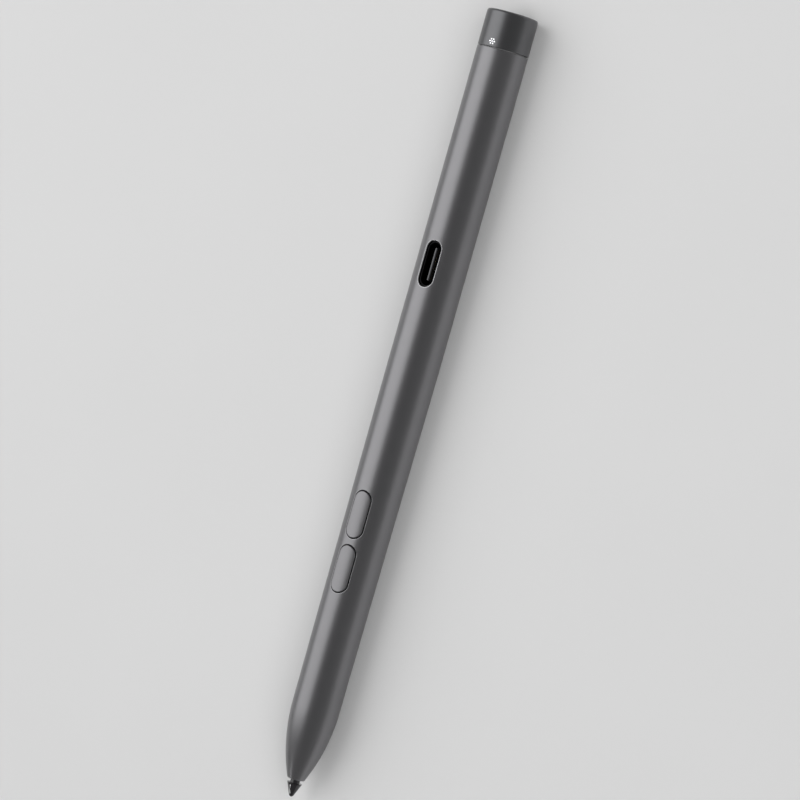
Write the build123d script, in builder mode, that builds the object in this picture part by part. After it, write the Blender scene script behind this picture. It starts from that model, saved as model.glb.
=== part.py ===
from build123d import *

import os
from math import acos, asin, atan2, cos, pi, sin, sqrt

# A rechargeable stylus pen in millimetres. It lies on its flat at z = 0, with its tip towards -X,
# its tail towards +X and its buttons, port and status light facing up.

# Body form
body_width = 10.0
flat_depth = 0.6
wall = 0.7
nose_length = 14.7
nose_end_radius = 1.72
nose_edge_fillet = 0.12
round_length = 5.7
blend_length = 61.0
seam_gap = 0.2
seam_edge_chamfer = 0.06

# Clearances and cuts
fit = 0.02
run = 0.05
chassis_gap = 0.15
overrun = 1.0

# Nib, which pulls out, and the holder that carries it
nib_cone_length = 2.8
nib_cone_radius = 1.5
nib_tip_radius = 0.5
nib_edge_fillet = 0.06
nib_standoff = 0.8
neck_radius = 0.95
neck_gap = 0.1
shaft_radius = 0.7
shaft_length = 8.0
holder_radius = 1.5
holder_setback = 1.3
socket_spare = 0.4
collar_radius = 2.0
collar_thickness = 1.0
stem_radius = 1.0
stem_gap = 0.15
press_room = 0.3

# Stepped bores of the nose and what sits in them
mouth_radius = 1.25
mouth_length = 2.8
throat_radius = 1.9
throat_length = 5.0
chamber_radius = 3.0
chamber_length = 7.6
bush_setback = 0.15
bush_flange_thickness = 0.8
electrode_wall = 0.22
guide_flange_thickness = 1.0

# Return spring of the nib holder
spring_length = 3.55
spring_wire_radius = 0.15
spring_gap = 0.2
spring_turns = 5

# Force sensor behind the holder
pad_setback = 0.4
pad_radius = 1.4
pad_thickness = 0.6
sensor_radius = 2.0
sensor_thickness = 1.0
sensor_lip = 0.2

# Front chassis and board
front_wall_thickness = 0.6
chassis_wall = 0.8
rib_width = 2.6
board_gap = 0.6
board_thickness = 0.5
board_side_gap = 0.4
part_gap = 1.0
front_board_margin = 0.53
front_end_wall = 1.2
chip_length = 5.0
chip_height = 0.8
chip_setback = 3.0
small_part_length = 1.0
small_part_width = 0.5
small_part_height = 0.45
small_part_pitch = 1.4
small_part_row_gap = 3.4
small_part_rows = 2
front_part_columns = 4

# Barrel buttons and their switches
button_length = 9.2
button_width = 3.5
button_gap = 0.2
button_proud = 0.2
button_edge_fillet = 0.15
button_land = 1.17
lower_button_setback = 7.8
flange_lip = 0.4
flange_gap = 0.06
flange_depth = 1.2
switch_length = 3.6
switch_width = 2.8
switch_height = 1.0
plunger_radius = 0.7
plunger_stand = 0.5
plunger_sink = 0.4
plunger_room = 0.35
window_edge_chamfer = 0.06

# Battery and the link between the boards
chassis_joint_gap = 0.2
bulkhead_thickness = 1.0
foam_thickness = 0.6
foam_margin = 0.2
battery_headroom = 0.53
battery_length = 31.0
battery_edge_fillet = 0.3
tab_thickness = 0.15
tab_width = 1.2
tab_height = 2.0
tab_margin = 0.4
tab_landing = 1.3
flex_thickness = 0.12
flex_width = 2.0
flex_gap = 0.05
flex_bend = 0.6
flex_landing = 1.8
flex_drop = 1.3

# Rear chassis, board and what stands on it
rear_floor_thickness = 1.1
rear_board_gap = 1.2
rear_board_margin = 3.1
charger_length = 3.0
charger_height = 0.8
radio_length = 7.0
radio_width = 5.0
radio_height = 1.3
rear_row_gap = 1.2
rear_row_margin = 1.2
rear_part_columns = 3

# Magnets behind the flat
magnet_length = 7.0
magnet_width = 3.4
magnet_thickness = 0.7
magnet_pitch = 8.0
magnet_count = 2
magnet_gap = 0.05
front_magnet_setback = 4.8
rear_magnet_setback = 12.8

# USB-C port
port_opening_length = 8.34
port_opening_width = 2.56
port_shell_wall = 0.22
port_gap = 0.1
port_recess = 0.7
port_edge_chamfer = 0.22
port_setback = 1.31
port_base_thickness = 0.5
tongue_length = 6.69
tongue_thickness = 0.7
tongue_recess = 0.4
tongue_edge_chamfer = 0.15
contact_width = 0.25
contact_thickness = 0.05
contact_pitch = 0.5
contact_count = 12
contact_rows = 2
contact_length_share = 0.6
contact_setback = 0.5
seal_wall = 0.6
seal_depth = 1.5

# Sounder behind the hole in the side
sound_hole_radius = 0.75
sounder_gap = 3.61
sounder_length = 4.0
sounder_thickness = 1.8
sounder_setback = 2.0
gasket_radius = 1.3
gasket_bore_radius = 0.85
mesh_thickness = 0.1
mesh_setback = 0.4

# Small screws, all alike
screw_radius = 0.5
screw_length = 1.2
screw_head_radius = 0.9
screw_head_height = 0.4
screw_slot_width = 0.25
screw_slot_depth = 0.2

# Tail frame, tail board and tail button
foot_gap = 0.3
foot_length = 3.6
foot_width = 4.4
foot_lap = 1.0
plug_length = 5.1
plug_gap = 0.15
plug_wall = 0.8
plug_end_wall = 1.0
tail_reach = 0.5
tail_board_gap = 0.2
tail_switch_share = 0.42
tail_switch_height = 1.2
tail_plunger_radius = 0.6
tail_plunger_sink = 0.4
tail_plunger_stand = 0.6
led_length = 1.0
led_height = 0.6
led_gap = 0.3
antenna_length = 3.2
antenna_width = 0.8
antenna_height = 0.8
antenna_gap = 0.3
tail_button_length = 7.3
tail_end_wall = 1.4
tail_end_fillet = 0.5
tail_corner_spare = 0.1
tail_dome_radius = 60.0
skirt_gap = 0.06
skirt_wall = 0.55
skirt_setback = 0.6
post_radius = 1.1
hook_length = 1.0
hook_height = 1.6
hook_play = 0.05
hook_room = 0.35
hook_root = 0.4

# Status light: six dots round one
lens_place = 0.97
lens_length = 1.8
lens_thickness = 0.55
dot_radius = 0.13
dot_ring_radius = 0.475
dot_ring_turn = 30
dot_count = 6

# Heights worked out from the table up, and the widths that fit there
body_height = body_width - flat_depth
tail_radius = body_width / 2
tail_centre = body_height - tail_radius
front_radius = body_height / 2
axis_height = body_height / 2
crown_inside = body_height - wall
chassis_inset = wall + chassis_gap
flange_bottom = crown_inside - flange_depth
front_board_top = flange_bottom - plunger_stand - switch_height
front_board_bottom = front_board_top - board_thickness
rear_floor_top = chassis_inset + rear_floor_thickness
rear_board_top = rear_floor_top + board_thickness
battery_radius = (crown_inside - battery_headroom - rear_floor_top - fit) / 2
battery_centre = rear_floor_top + battery_radius + fit
flex_height = battery_centre + battery_radius + flex_gap + flex_thickness / 2
front_inside_radius = front_radius - wall
front_board_reach = sqrt(front_inside_radius**2 - (front_board_top - axis_height) ** 2)
front_board_width = 2 * (front_board_reach - board_side_gap)
sounder_face = tail_radius - sounder_setback
rear_board_width = 2 * sounder_face
rear_row_side = rear_board_width / 2 - rear_row_margin
tab_side = flex_width / 2 + tab_margin + tab_width / 2
port_mouth = body_height - port_recess
skirt_inset = wall + skirt_gap
tail_cavity_inset = skirt_inset + skirt_wall
plug_inset = tail_cavity_inset + plug_gap
tail_switch_width = tail_switch_share * (body_height - 2 * tail_cavity_inset)

# Places worked out from the tip back
nose_end = nib_cone_length + nib_standoff
nose_start = nose_end + nose_length
blend_start = nose_start + round_length
blend_end = blend_start + blend_length
throat_start = nose_end + mouth_length
chamber_start = throat_start + throat_length
bore_start = chamber_start + chamber_length
bush_end = throat_start + bush_flange_thickness
holder_front = bush_end + holder_setback
guide_end = bore_start + guide_flange_thickness
collar_start = guide_end + run
collar_end = collar_start + collar_thickness
front_chassis_start = collar_end + spring_length
front_wall_end = front_chassis_start + front_wall_thickness
pad_start = front_wall_end + pad_setback
stem_end = pad_start - press_room
sensor_start = pad_start + pad_thickness
sensor_end = sensor_start + sensor_thickness
front_block_end = sensor_end + sensor_lip
front_board_start = front_block_end + board_gap
chip_middle = front_board_start + chip_setback + chip_length / 2
front_screw = chip_middle + chip_length / 2 + part_gap + screw_head_radius
lower_button_middle = front_screw + lower_button_setback
window_length = button_length + 2 * button_gap
upper_button_middle = lower_button_middle + window_length + button_land
middle_screw = upper_button_middle + switch_length / 2 + part_gap + screw_head_radius
front_board_end = middle_screw + screw_head_radius + front_board_margin + flex_landing
front_chassis_end = front_board_end + front_end_wall
rear_chassis_start = front_chassis_end + chassis_joint_gap
foam_start = rear_chassis_start + bulkhead_thickness
battery_start = foam_start + foam_thickness
battery_end = battery_start + battery_length
rear_board_start = battery_end + rear_board_gap
port_shell_length = port_opening_length + 2 * port_shell_wall
port_shell_width = port_opening_width + 2 * port_shell_wall
port_middle = rear_board_start + flex_landing + port_setback + port_shell_length / 2
charger_middle = port_middle + (port_shell_length + charger_length) / 2 + part_gap
port_screw = charger_middle + charger_length / 2 + part_gap + screw_head_radius
radio_middle = port_screw + screw_head_radius + part_gap + radio_length / 2
sounder_middle = radio_middle + (radio_length + sounder_length) / 2 + sounder_gap
rear_screw = sounder_middle + sounder_length / 2 + part_gap + screw_head_radius
rear_board_end = rear_screw + screw_head_radius + rear_board_margin
foot_start = rear_board_end + foot_gap
rear_chassis_end = foot_start + foot_length
plug_start = rear_chassis_end + chassis_joint_gap
plug_end = plug_start + plug_length
tail_board_end = plug_end + board_thickness
barrel_end = plug_end + tail_reach
tail_button_start = barrel_end + seam_gap
skirt_start = plug_start + skirt_setback
overall_length = tail_button_start + tail_button_length
tail_cavity_end = overall_length - tail_end_wall
tail_switch_end = tail_board_end + tail_switch_height
tail_plunger_end = tail_switch_end + tail_plunger_stand
lens_middle = tail_button_start + lens_place

# Planes: across the pen, across it centred on the nib, from the side, from above and along the sound hole
tip = -overall_length / 2
cross_plane = Plane(origin=(tip, 0, 0), x_dir=(0, 1, 0), z_dir=(1, 0, 0))
nib_plane = Plane(origin=(tip, 0, axis_height), x_dir=(0, 1, 0), z_dir=(1, 0, 0))
side_plane = Plane(origin=(tip, 0, 0), x_dir=(1, 0, 0), z_dir=(0, -1, 0))
top_plane = Plane(origin=(tip, 0, 0), x_dir=(1, 0, 0), z_dir=(0, 0, 1))
sound_plane = Plane(origin=(tip + sounder_middle, 0, tail_centre), z_dir=(0, 1, 0))
nib_axis = Axis((tip, 0, axis_height), (1, 0, 0))


def arc_point(radius, centre, angle):
    """The point of a circle on the pen's middle plane, at an angle from straight down."""
    return (radius * sin(angle), centre - radius * cos(angle))


def outline(radius, centre, inset, flat):
    """The pen's outline inset from its skin: two side arcs, and the flat or the arc in its place."""
    corner = acos((tail_centre - inset) / (tail_radius - inset))
    right = arc_point(radius, centre, corner)
    crown = arc_point(radius, centre, pi)
    left = arc_point(radius, centre, -corner)
    with BuildSketch() as face:
        with BuildLine():
            ThreePointArc(right, arc_point(radius, centre, (pi + corner) / 2), crown)
            ThreePointArc(crown, arc_point(radius, centre, -(pi + corner) / 2), left)
            if flat:
                Line(left, right)
            else:
                ThreePointArc(left, arc_point(radius, centre, 0), right)
        make_face()
    return face.sketch


def pen_form(inset, start, end):
    """The pen's form inset from its skin: round in front, blending into a D with a flat behind."""
    round_face = outline(front_radius - inset, axis_height, inset, False)
    flat_face = outline(tail_radius - inset, tail_centre, inset, True)
    with BuildPart() as form:
        with BuildSketch(cross_plane.offset(nose_end)):
            add(round_face)
        extrude(amount=blend_start - nose_end)
        with BuildSketch(cross_plane.offset(blend_start)):
            add(round_face)
        with BuildSketch(cross_plane.offset(blend_end)):
            add(flat_face)
        loft(ruled=True)
        with BuildSketch(cross_plane.offset(blend_end)):
            add(flat_face)
        extrude(amount=overall_length - blend_end)
        with BuildSketch(nib_plane.offset(start)):
            Rectangle(2 * body_width, 2 * body_width)
        extrude(amount=end - start, mode=Mode.INTERSECT)
    return form.part


def block(start, end, width, bottom, top, side=0):
    """A square block between two places along the pen and two heights."""
    with BuildPart() as piece:
        with BuildSketch(top_plane.offset(bottom)):
            with Locations(((start + end) / 2, side)):
                Rectangle(end - start, width)
        extrude(amount=top - bottom)
    return piece.part


def pill(middle, length, width, bottom, top):
    """An upright pill-shaped block centred over the pen's axis."""
    with BuildPart() as piece:
        with BuildSketch(top_plane.offset(bottom)):
            with Locations((middle, 0)):
                SlotOverall(length, width)
        extrude(amount=top - bottom)
    return piece.part


def rod(start, end, radius, height=axis_height):
    """A round rod along the pen at a height."""
    with BuildPart() as piece:
        with BuildSketch(cross_plane.offset(start)):
            with Locations((0, height)):
                Circle(radius)
        extrude(amount=end - start)
    return piece.part


def post(middle, radius, bottom, top):
    """An upright round post over the pen's axis."""
    with BuildPart() as piece:
        with BuildSketch(top_plane.offset(bottom)):
            with Locations((middle, 0)):
                Circle(radius)
        extrude(amount=top - bottom)
    return piece.part


def screw_holes(places, radius, bottom, top):
    """Cutters for upright holes at screw places."""
    return [post(place, radius, bottom, top) for place in places]


front_screws = [front_screw, middle_screw]
rear_screws = [port_screw, rear_screw]
foot_screw = foot_start + foot_length / 2
pilot_radius = screw_radius + fit
screw_clear_radius = screw_radius + run

# Barrel: one tube with its nose, two button windows, the port slot and the sound hole
nose_drop = front_radius - nose_end_radius
nose_arc_radius = (nose_length**2 + nose_drop**2) / (2 * nose_drop)
nose_half_angle = asin(nose_length / nose_arc_radius) / 2
nose_mid_drop = nose_arc_radius * (1 - cos(nose_half_angle))
nose_mid = (
    nose_start - nose_arc_radius * sin(nose_half_angle),
    axis_height + front_radius - nose_mid_drop,
)
skin = pen_form(0, nose_start, barrel_end)
bore = pen_form(wall, bore_start, barrel_end)
window_width = button_width + 2 * button_gap
windows = [
    pill(middle, window_length, window_width, axis_height, body_height + overrun)
    for middle in (lower_button_middle, upper_button_middle)
]
slot_length = port_shell_length + 2 * port_gap
slot_width = port_shell_width + 2 * port_gap
port_slot = pill(port_middle, slot_length, slot_width, axis_height, body_height + overrun)
with BuildPart() as barrel:
    add(skin)
    with BuildSketch(side_plane):
        with BuildLine():
            Polyline(
                (nose_start, axis_height + front_radius),
                (nose_start, axis_height),
                (nose_end, axis_height),
                (nose_end, axis_height + nose_end_radius),
            )
            ThreePointArc(
                (nose_end, axis_height + nose_end_radius),
                nose_mid,
                (nose_start, axis_height + front_radius),
            )
        make_face()
    revolve(axis=nib_axis)
    nose_face = barrel.faces().sort_by(Axis.X)[0]
    fillet(nose_face.edges(), nose_edge_fillet)
    add(bore, mode=Mode.SUBTRACT)
    for start, radius, length in (
        (nose_end, mouth_radius, mouth_length),
        (throat_start, throat_radius, throat_length),
        (chamber_start, chamber_radius, chamber_length),
    ):
        with BuildSketch(nib_plane.offset(start)):
            Circle(radius)
        extrude(amount=length, mode=Mode.SUBTRACT)
    chamfer(barrel.faces().sort_by(Axis.X)[-1].outer_wire().edges(), seam_edge_chamfer)
    for cutter, middle, length, edge_chamfer in (
        (port_slot, port_middle, slot_length, port_edge_chamfer),
        (windows[0], lower_button_middle, window_length, window_edge_chamfer),
        (windows[1], upper_button_middle, window_length, window_edge_chamfer),
    ):
        add(cutter, mode=Mode.SUBTRACT)
        rim = barrel.edges().filter_by(
            lambda edge: abs(edge.center().X - tip - middle) <= length / 2
            and edge.center().Z > (body_height + crown_inside) / 2
        )
        chamfer(rim, edge_chamfer)
    with BuildSketch(sound_plane):
        Circle(sound_hole_radius)
    extrude(amount=body_width, mode=Mode.SUBTRACT)

# Nose bush round the nib's neck, and the tilt electrode behind it
bush_start = nose_end + bush_setback
with BuildPart() as nose_bush:
    add(rod(bush_start, bush_end, mouth_radius - fit))
    add(rod(throat_start, bush_end, throat_radius - fit))
    add(rod(bush_start, bush_end, neck_radius + neck_gap), mode=Mode.SUBTRACT)

electrode_radius = throat_radius - fit
with BuildPart() as tilt_electrode:
    add(rod(bush_end, chamber_start, electrode_radius))
    add(rod(bush_end, chamber_start, electrode_radius - electrode_wall), mode=Mode.SUBTRACT)

# Tip guide in which the nib holder slides
with BuildPart() as tip_guide:
    add(rod(chamber_start, guide_end, chamber_radius - fit))
    add(rod(bore_start, guide_end, front_radius - wall - run))
    add(rod(chamber_start, guide_end, holder_radius + run), mode=Mode.SUBTRACT)

# Nib: a blunt cone on a neck, with a shaft that pulls out of the holder
cone_reach = nib_cone_length - nib_tip_radius
tip_distance = sqrt(cone_reach**2 + nib_cone_radius**2)
tip_angle = atan2(nib_cone_radius, cone_reach) + acos(nib_tip_radius / tip_distance)


def tip_point(angle):
    """A point of the nib's round tip, at an angle from straight back."""
    return (
        nib_tip_radius * (1 + cos(angle)),
        axis_height + nib_tip_radius * sin(angle),
    )


with BuildPart() as nib:
    with BuildSketch(side_plane):
        with BuildLine():
            ThreePointArc(tip_point(pi), tip_point((pi + tip_angle) / 2), tip_point(tip_angle))
            Polyline(
                tip_point(tip_angle),
                (nib_cone_length, axis_height + nib_cone_radius),
                (nib_cone_length, axis_height),
                tip_point(pi),
            )
        make_face()
    revolve(axis=nib_axis)
    cone_base = nib.faces().sort_by(Axis.X)[-1]
    fillet(cone_base.edges(), nib_edge_fillet)
    add(rod(nib_cone_length, holder_front, neck_radius))
    add(rod(holder_front, holder_front + shaft_length, shaft_radius))

# Nib holder: socket in front, collar against the guide, stem towards the sensor
socket_end = holder_front + shaft_length + socket_spare
with BuildPart() as nib_holder:
    add(rod(holder_front, collar_start, holder_radius))
    add(rod(collar_start, collar_end, collar_radius))
    add(rod(collar_end, stem_end, stem_radius))
    add(rod(holder_front, socket_end, shaft_radius + fit), mode=Mode.SUBTRACT)

# Return spring round the holder's stem
spring_radius = stem_radius + spring_gap + spring_wire_radius
spring_start = collar_end + spring_wire_radius + run
spring_end = front_chassis_start - spring_wire_radius - run
spring_pitch = (spring_end - spring_start) / spring_turns
with BuildPart() as nib_spring:
    with BuildLine() as coil:
        Helix(
            spring_pitch,
            spring_end - spring_start,
            spring_radius,
            center=(tip + spring_start, 0, axis_height),
            direction=(1, 0, 0),
        )
    with BuildSketch(Plane(origin=coil.line @ 0, z_dir=coil.line % 0)):
        Circle(spring_wire_radius)
    sweep(is_frenet=True)

# Force sensor and the soft pad that the stem presses on
with BuildPart() as sensor_pad:
    add(rod(pad_start, sensor_start, pad_radius))

with BuildPart() as force_sensor:
    add(rod(sensor_start, sensor_end, sensor_radius))

# Front chassis: a ring that holds the sensor, and a trough with ribs that carries the front board
front_form = pen_form(chassis_inset, front_chassis_start, front_chassis_end)
trough_breaks = [front_block_end]
for screw in front_screws:
    trough_breaks += [screw - rib_width / 2, screw + rib_width / 2]
trough_breaks.append(front_board_end)
bays = [
    pen_form(chassis_inset + chassis_wall, start, end)
    for start, end in zip(trough_breaks[0::2], trough_breaks[1::2])
]
front_cut = block(
    front_block_end, front_chassis_end + overrun, 2 * body_width, front_board_bottom, body_height
)
with BuildPart() as front_chassis:
    add(front_form)
    add(front_cut, mode=Mode.SUBTRACT)
    for bay in bays:
        add(bay, mode=Mode.SUBTRACT)
    add(rod(front_chassis_start, front_block_end, stem_radius + stem_gap), mode=Mode.SUBTRACT)
    add(rod(front_wall_end, front_block_end, sensor_radius + fit), mode=Mode.SUBTRACT)
    pilot_bottom = front_board_top - screw_length - fit
    for hole in screw_holes(front_screws, pilot_radius, pilot_bottom, front_board_top):
        add(hole, mode=Mode.SUBTRACT)

# Front board with its controller chip and small chip parts
with BuildPart() as front_board:
    add(
        block(
            front_board_start,
            front_board_end,
            front_board_width,
            front_board_bottom,
            front_board_top,
        )
    )
    for hole in screw_holes(front_screws, screw_clear_radius, front_board_bottom, front_board_top):
        add(hole, mode=Mode.SUBTRACT)

with BuildPart() as controller_chip:
    add(
        block(
            chip_middle - chip_length / 2,
            chip_middle + chip_length / 2,
            chip_length,
            front_board_top,
            front_board_top + chip_height,
        )
    )

small_part_middle = (lower_button_middle + upper_button_middle) / 2
with BuildPart() as front_components:
    with BuildSketch(top_plane.offset(front_board_top)):
        with Locations((small_part_middle, 0)):
            with GridLocations(small_part_pitch, small_part_row_gap, front_part_columns, small_part_rows):
                Rectangle(small_part_width, small_part_length)
    extrude(amount=small_part_height)

# Barrel buttons, each with a flange under the wall, and their switches
crown_radius = (front_radius + tail_radius) / 2 + button_proud
flange_radius = front_radius - wall - flange_gap


def barrel_button(middle):
    """A pill-shaped button that stands a little proud, with a wider flange inside the barrel."""
    span = window_length + 2 * flange_lip
    start = middle - span / 2
    end = middle + span / 2
    cap_crown = rod(start, end, crown_radius, body_height + button_proud - crown_radius)
    flange_crown = rod(start, end, flange_radius, crown_inside - flange_gap - flange_radius)
    cap = pill(middle, button_length, button_width, flange_bottom, body_height + overrun)
    flange = pill(middle, span, window_width + 2 * flange_lip, flange_bottom, body_height)
    with BuildPart() as lip:
        add(flange)
        add(flange_crown, mode=Mode.INTERSECT)
    with BuildPart() as button:
        add(cap)
        add(cap_crown, mode=Mode.INTERSECT)
        rim = button.edges().filter_by(lambda edge: edge.center().Z > crown_inside)
        fillet(rim, button_edge_fillet)
        add(lip.part)
    return button


def tact_switch(middle):
    """A switch body on the front board, with a round well for its plunger."""
    top = front_board_top + switch_height
    body = block(
        middle - switch_length / 2, middle + switch_length / 2, switch_width, front_board_top, top
    )
    well = post(middle, plunger_radius + run, top - plunger_sink - plunger_room, top)
    with BuildPart() as switch:
        add(body)
        add(well, mode=Mode.SUBTRACT)
    return switch


def switch_plunger(middle):
    """The plunger between a switch and its button."""
    bottom = front_board_top + switch_height - plunger_sink
    with BuildPart() as plunger:
        add(post(middle, plunger_radius, bottom, flange_bottom))
    return plunger


lower_button = barrel_button(lower_button_middle)
upper_button = barrel_button(upper_button_middle)
lower_switch = tact_switch(lower_button_middle)
upper_switch = tact_switch(upper_button_middle)
lower_switch_plunger = switch_plunger(lower_button_middle)
upper_switch_plunger = switch_plunger(upper_button_middle)

# Battery with its foam and tabs, and the flat flex cable that passes over it
with BuildPart() as battery_cell:
    add(rod(battery_start, battery_end, battery_radius, battery_centre))
    fillet(battery_cell.edges().filter_by(GeomType.CIRCLE), battery_edge_fillet)

with BuildPart() as battery_foam:
    add(rod(foam_start, battery_start, battery_radius - foam_margin, battery_centre))

with BuildPart() as battery_tabs:
    with BuildSketch(side_plane) as tab_profile:
        with BuildLine():
            Polyline(
                (battery_end, rear_board_top),
                (rear_board_start + tab_landing, rear_board_top),
                (rear_board_start + tab_landing, rear_board_top + tab_thickness),
                (battery_end + tab_thickness, rear_board_top + tab_thickness),
                (battery_end + tab_thickness, rear_board_top + tab_height),
                (battery_end, rear_board_top + tab_height),
                close=True,
            )
        make_face()
    for side in (-tab_side - tab_width / 2, tab_side - tab_width / 2):
        extrude(tab_profile.sketch.moved(Location((0, side, 0))), amount=tab_width, dir=(0, 1, 0))

flex_front = front_board_end - flex_landing
flex_rear = rear_board_start + flex_landing
with BuildPart() as flex_cable:
    with BuildSketch(side_plane):
        with BuildLine():
            FilletPolyline(
                (flex_front, front_board_top + flex_thickness / 2),
                (front_board_end, front_board_top + flex_thickness / 2),
                (rear_chassis_start, flex_height),
                (battery_end, flex_height),
                (battery_end + flex_drop, rear_board_top + flex_thickness / 2),
                (flex_rear, rear_board_top + flex_thickness / 2),
                radius=flex_bend,
            )
        trace(line_width=flex_thickness)
    extrude(amount=flex_width / 2, both=True)

# Rear chassis: battery cradle in front, then a floor under the rear board, with magnet pockets
magnet_middles = {
    "front": battery_end - front_magnet_setback,
    "rear": rear_board_end - rear_magnet_setback,
}


def magnet_bars(middle, gap):
    """A pair of bar magnets along the pen, grown by a gap to make their pockets."""
    with BuildPart() as bars:
        with BuildSketch(top_plane.offset(chassis_inset)):
            with Locations((middle, 0)):
                with GridLocations(magnet_pitch, 0, magnet_count, 1):
                    Rectangle(magnet_length + 2 * gap, magnet_width + 2 * gap)
        extrude(amount=magnet_thickness)
    return bars


rear_form = pen_form(chassis_inset, rear_chassis_start, rear_chassis_end)
cradle_cut = block(
    rear_chassis_start - overrun, battery_end, 2 * body_width, battery_centre, body_height
)
floor_cut = block(
    battery_end, rear_chassis_end + overrun, 2 * body_width, rear_floor_top, body_height
)
battery_bed = rod(foam_start, battery_end, battery_radius + fit, battery_centre)
pockets = [magnet_bars(middle, magnet_gap).part for middle in magnet_middles.values()]
rear_pilot_bottom = rear_board_top - screw_length - fit
with BuildPart() as rear_chassis:
    add(rear_form)
    add(cradle_cut, mode=Mode.SUBTRACT)
    add(floor_cut, mode=Mode.SUBTRACT)
    add(battery_bed, mode=Mode.SUBTRACT)
    for pocket in pockets:
        add(pocket, mode=Mode.SUBTRACT)
    for hole in screw_holes(
        rear_screws + [foot_screw], pilot_radius, rear_pilot_bottom, rear_board_top
    ):
        add(hole, mode=Mode.SUBTRACT)

front_magnets = magnet_bars(magnet_middles["front"], 0)
rear_magnets = magnet_bars(magnet_middles["rear"], 0)

# Rear board with its charger, radio and small chip parts
with BuildPart() as rear_board:
    add(
        block(rear_board_start, rear_board_end, rear_board_width, rear_floor_top, rear_board_top)
    )
    for hole in screw_holes(rear_screws, screw_clear_radius, rear_floor_top, rear_board_top):
        add(hole, mode=Mode.SUBTRACT)

with BuildPart() as charger_chip:
    add(
        block(
            charger_middle - charger_length / 2,
            charger_middle + charger_length / 2,
            charger_length,
            rear_board_top,
            rear_board_top + charger_height,
        )
    )

with BuildPart() as radio_module:
    add(
        block(
            radio_middle - radio_length / 2,
            radio_middle + radio_length / 2,
            radio_width,
            rear_board_top,
            rear_board_top + radio_height,
        )
    )

with BuildPart() as rear_components:
    with BuildSketch(top_plane.offset(rear_board_top)):
        with Locations((sounder_middle, -rear_row_side)):
            with GridLocations(small_part_pitch, rear_row_gap, rear_part_columns, small_part_rows):
                Rectangle(small_part_width, small_part_length)
    extrude(amount=small_part_height)

# USB-C port: shell, tongue on its base, contacts on both faces, and a seal under the wall
with BuildPart() as usb_shell:
    add(pill(port_middle, port_shell_length, port_shell_width, rear_board_top, port_mouth))
    add(
        pill(port_middle, port_opening_length, port_opening_width, rear_board_top, port_mouth),
        mode=Mode.SUBTRACT,
    )

tongue_top = port_mouth - tongue_recess
port_base_top = rear_board_top + port_base_thickness
with BuildPart() as usb_tongue:
    add(
        block(
            port_middle - tongue_length / 2,
            port_middle + tongue_length / 2,
            tongue_thickness,
            port_base_top,
            tongue_top,
        )
    )
    chamfer(usb_tongue.faces().sort_by(Axis.Z)[-1].edges(), tongue_edge_chamfer)
    add(
        pill(
            port_middle,
            port_opening_length - 2 * fit,
            port_opening_width - 2 * fit,
            rear_board_top,
            port_base_top,
        )
    )

contact_top = tongue_top - contact_setback
contact_length = contact_length_share * (tongue_top - port_base_top)
contact_row_gap = tongue_thickness + contact_thickness
with BuildPart() as usb_contacts:
    with BuildSketch(top_plane.offset(contact_top - contact_length)):
        with Locations((port_middle, 0)):
            with GridLocations(contact_pitch, contact_row_gap, contact_count, contact_rows):
                Rectangle(contact_width, contact_thickness)
    extrude(amount=contact_length)

seal_start = port_middle - port_shell_length / 2 - seal_wall - overrun
seal_end = port_middle + port_shell_length / 2 + seal_wall + overrun
seal_form = pen_form(wall + fit, seal_start, seal_end)
seal_block = pill(
    port_middle,
    port_shell_length + 2 * seal_wall,
    port_shell_width + 2 * seal_wall,
    crown_inside - seal_depth,
    crown_inside,
)
seal_bore = pill(
    port_middle,
    port_shell_length + 2 * fit,
    port_shell_width + 2 * fit,
    crown_inside - seal_depth,
    crown_inside,
)
with BuildPart() as port_seal:
    add(seal_block)
    add(seal_form, mode=Mode.INTERSECT)
    add(seal_bore, mode=Mode.SUBTRACT)

# Sounder on the rear board, with a gasket and a mesh behind the hole in the side
with BuildPart() as sounder:
    add(
        block(
            sounder_middle - sounder_length / 2,
            sounder_middle + sounder_length / 2,
            sounder_thickness,
            rear_board_top,
            2 * tail_centre - rear_board_top,
            sounder_face - sounder_thickness / 2,
        )
    )

gasket_form = pen_form(
    wall + fit, sounder_middle - gasket_radius - overrun, sounder_middle + gasket_radius + overrun
)
with BuildPart() as sounder_gasket:
    with BuildSketch(sound_plane.offset(sounder_face)):
        Circle(gasket_radius)
        Circle(gasket_bore_radius, mode=Mode.SUBTRACT)
    extrude(amount=sounder_setback)
    add(gasket_form, mode=Mode.INTERSECT)

with BuildPart() as sound_mesh:
    with BuildSketch(sound_plane.offset(sounder_face + mesh_setback)):
        Circle(gasket_bore_radius - fit)
    extrude(amount=mesh_thickness)

# Five small slotted screws: two in each board and one in the tail frame's foot
screw_seats = [(screw, front_board_top) for screw in front_screws]
screw_seats += [(screw, rear_board_top) for screw in rear_screws + [foot_screw]]
screw_slot_length = 2 * screw_head_radius + overrun
with BuildPart() as board_screws:
    for screw, seat in screw_seats:
        add(post(screw, screw_radius, seat - screw_length, seat))
        add(post(screw, screw_head_radius, seat, seat + screw_head_height))
        add(
            block(
                screw - screw_slot_length / 2,
                screw + screw_slot_length / 2,
                screw_slot_width,
                seat + screw_head_height - screw_slot_depth,
                seat + screw_head_height,
            ),
            mode=Mode.SUBTRACT,
        )

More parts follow.
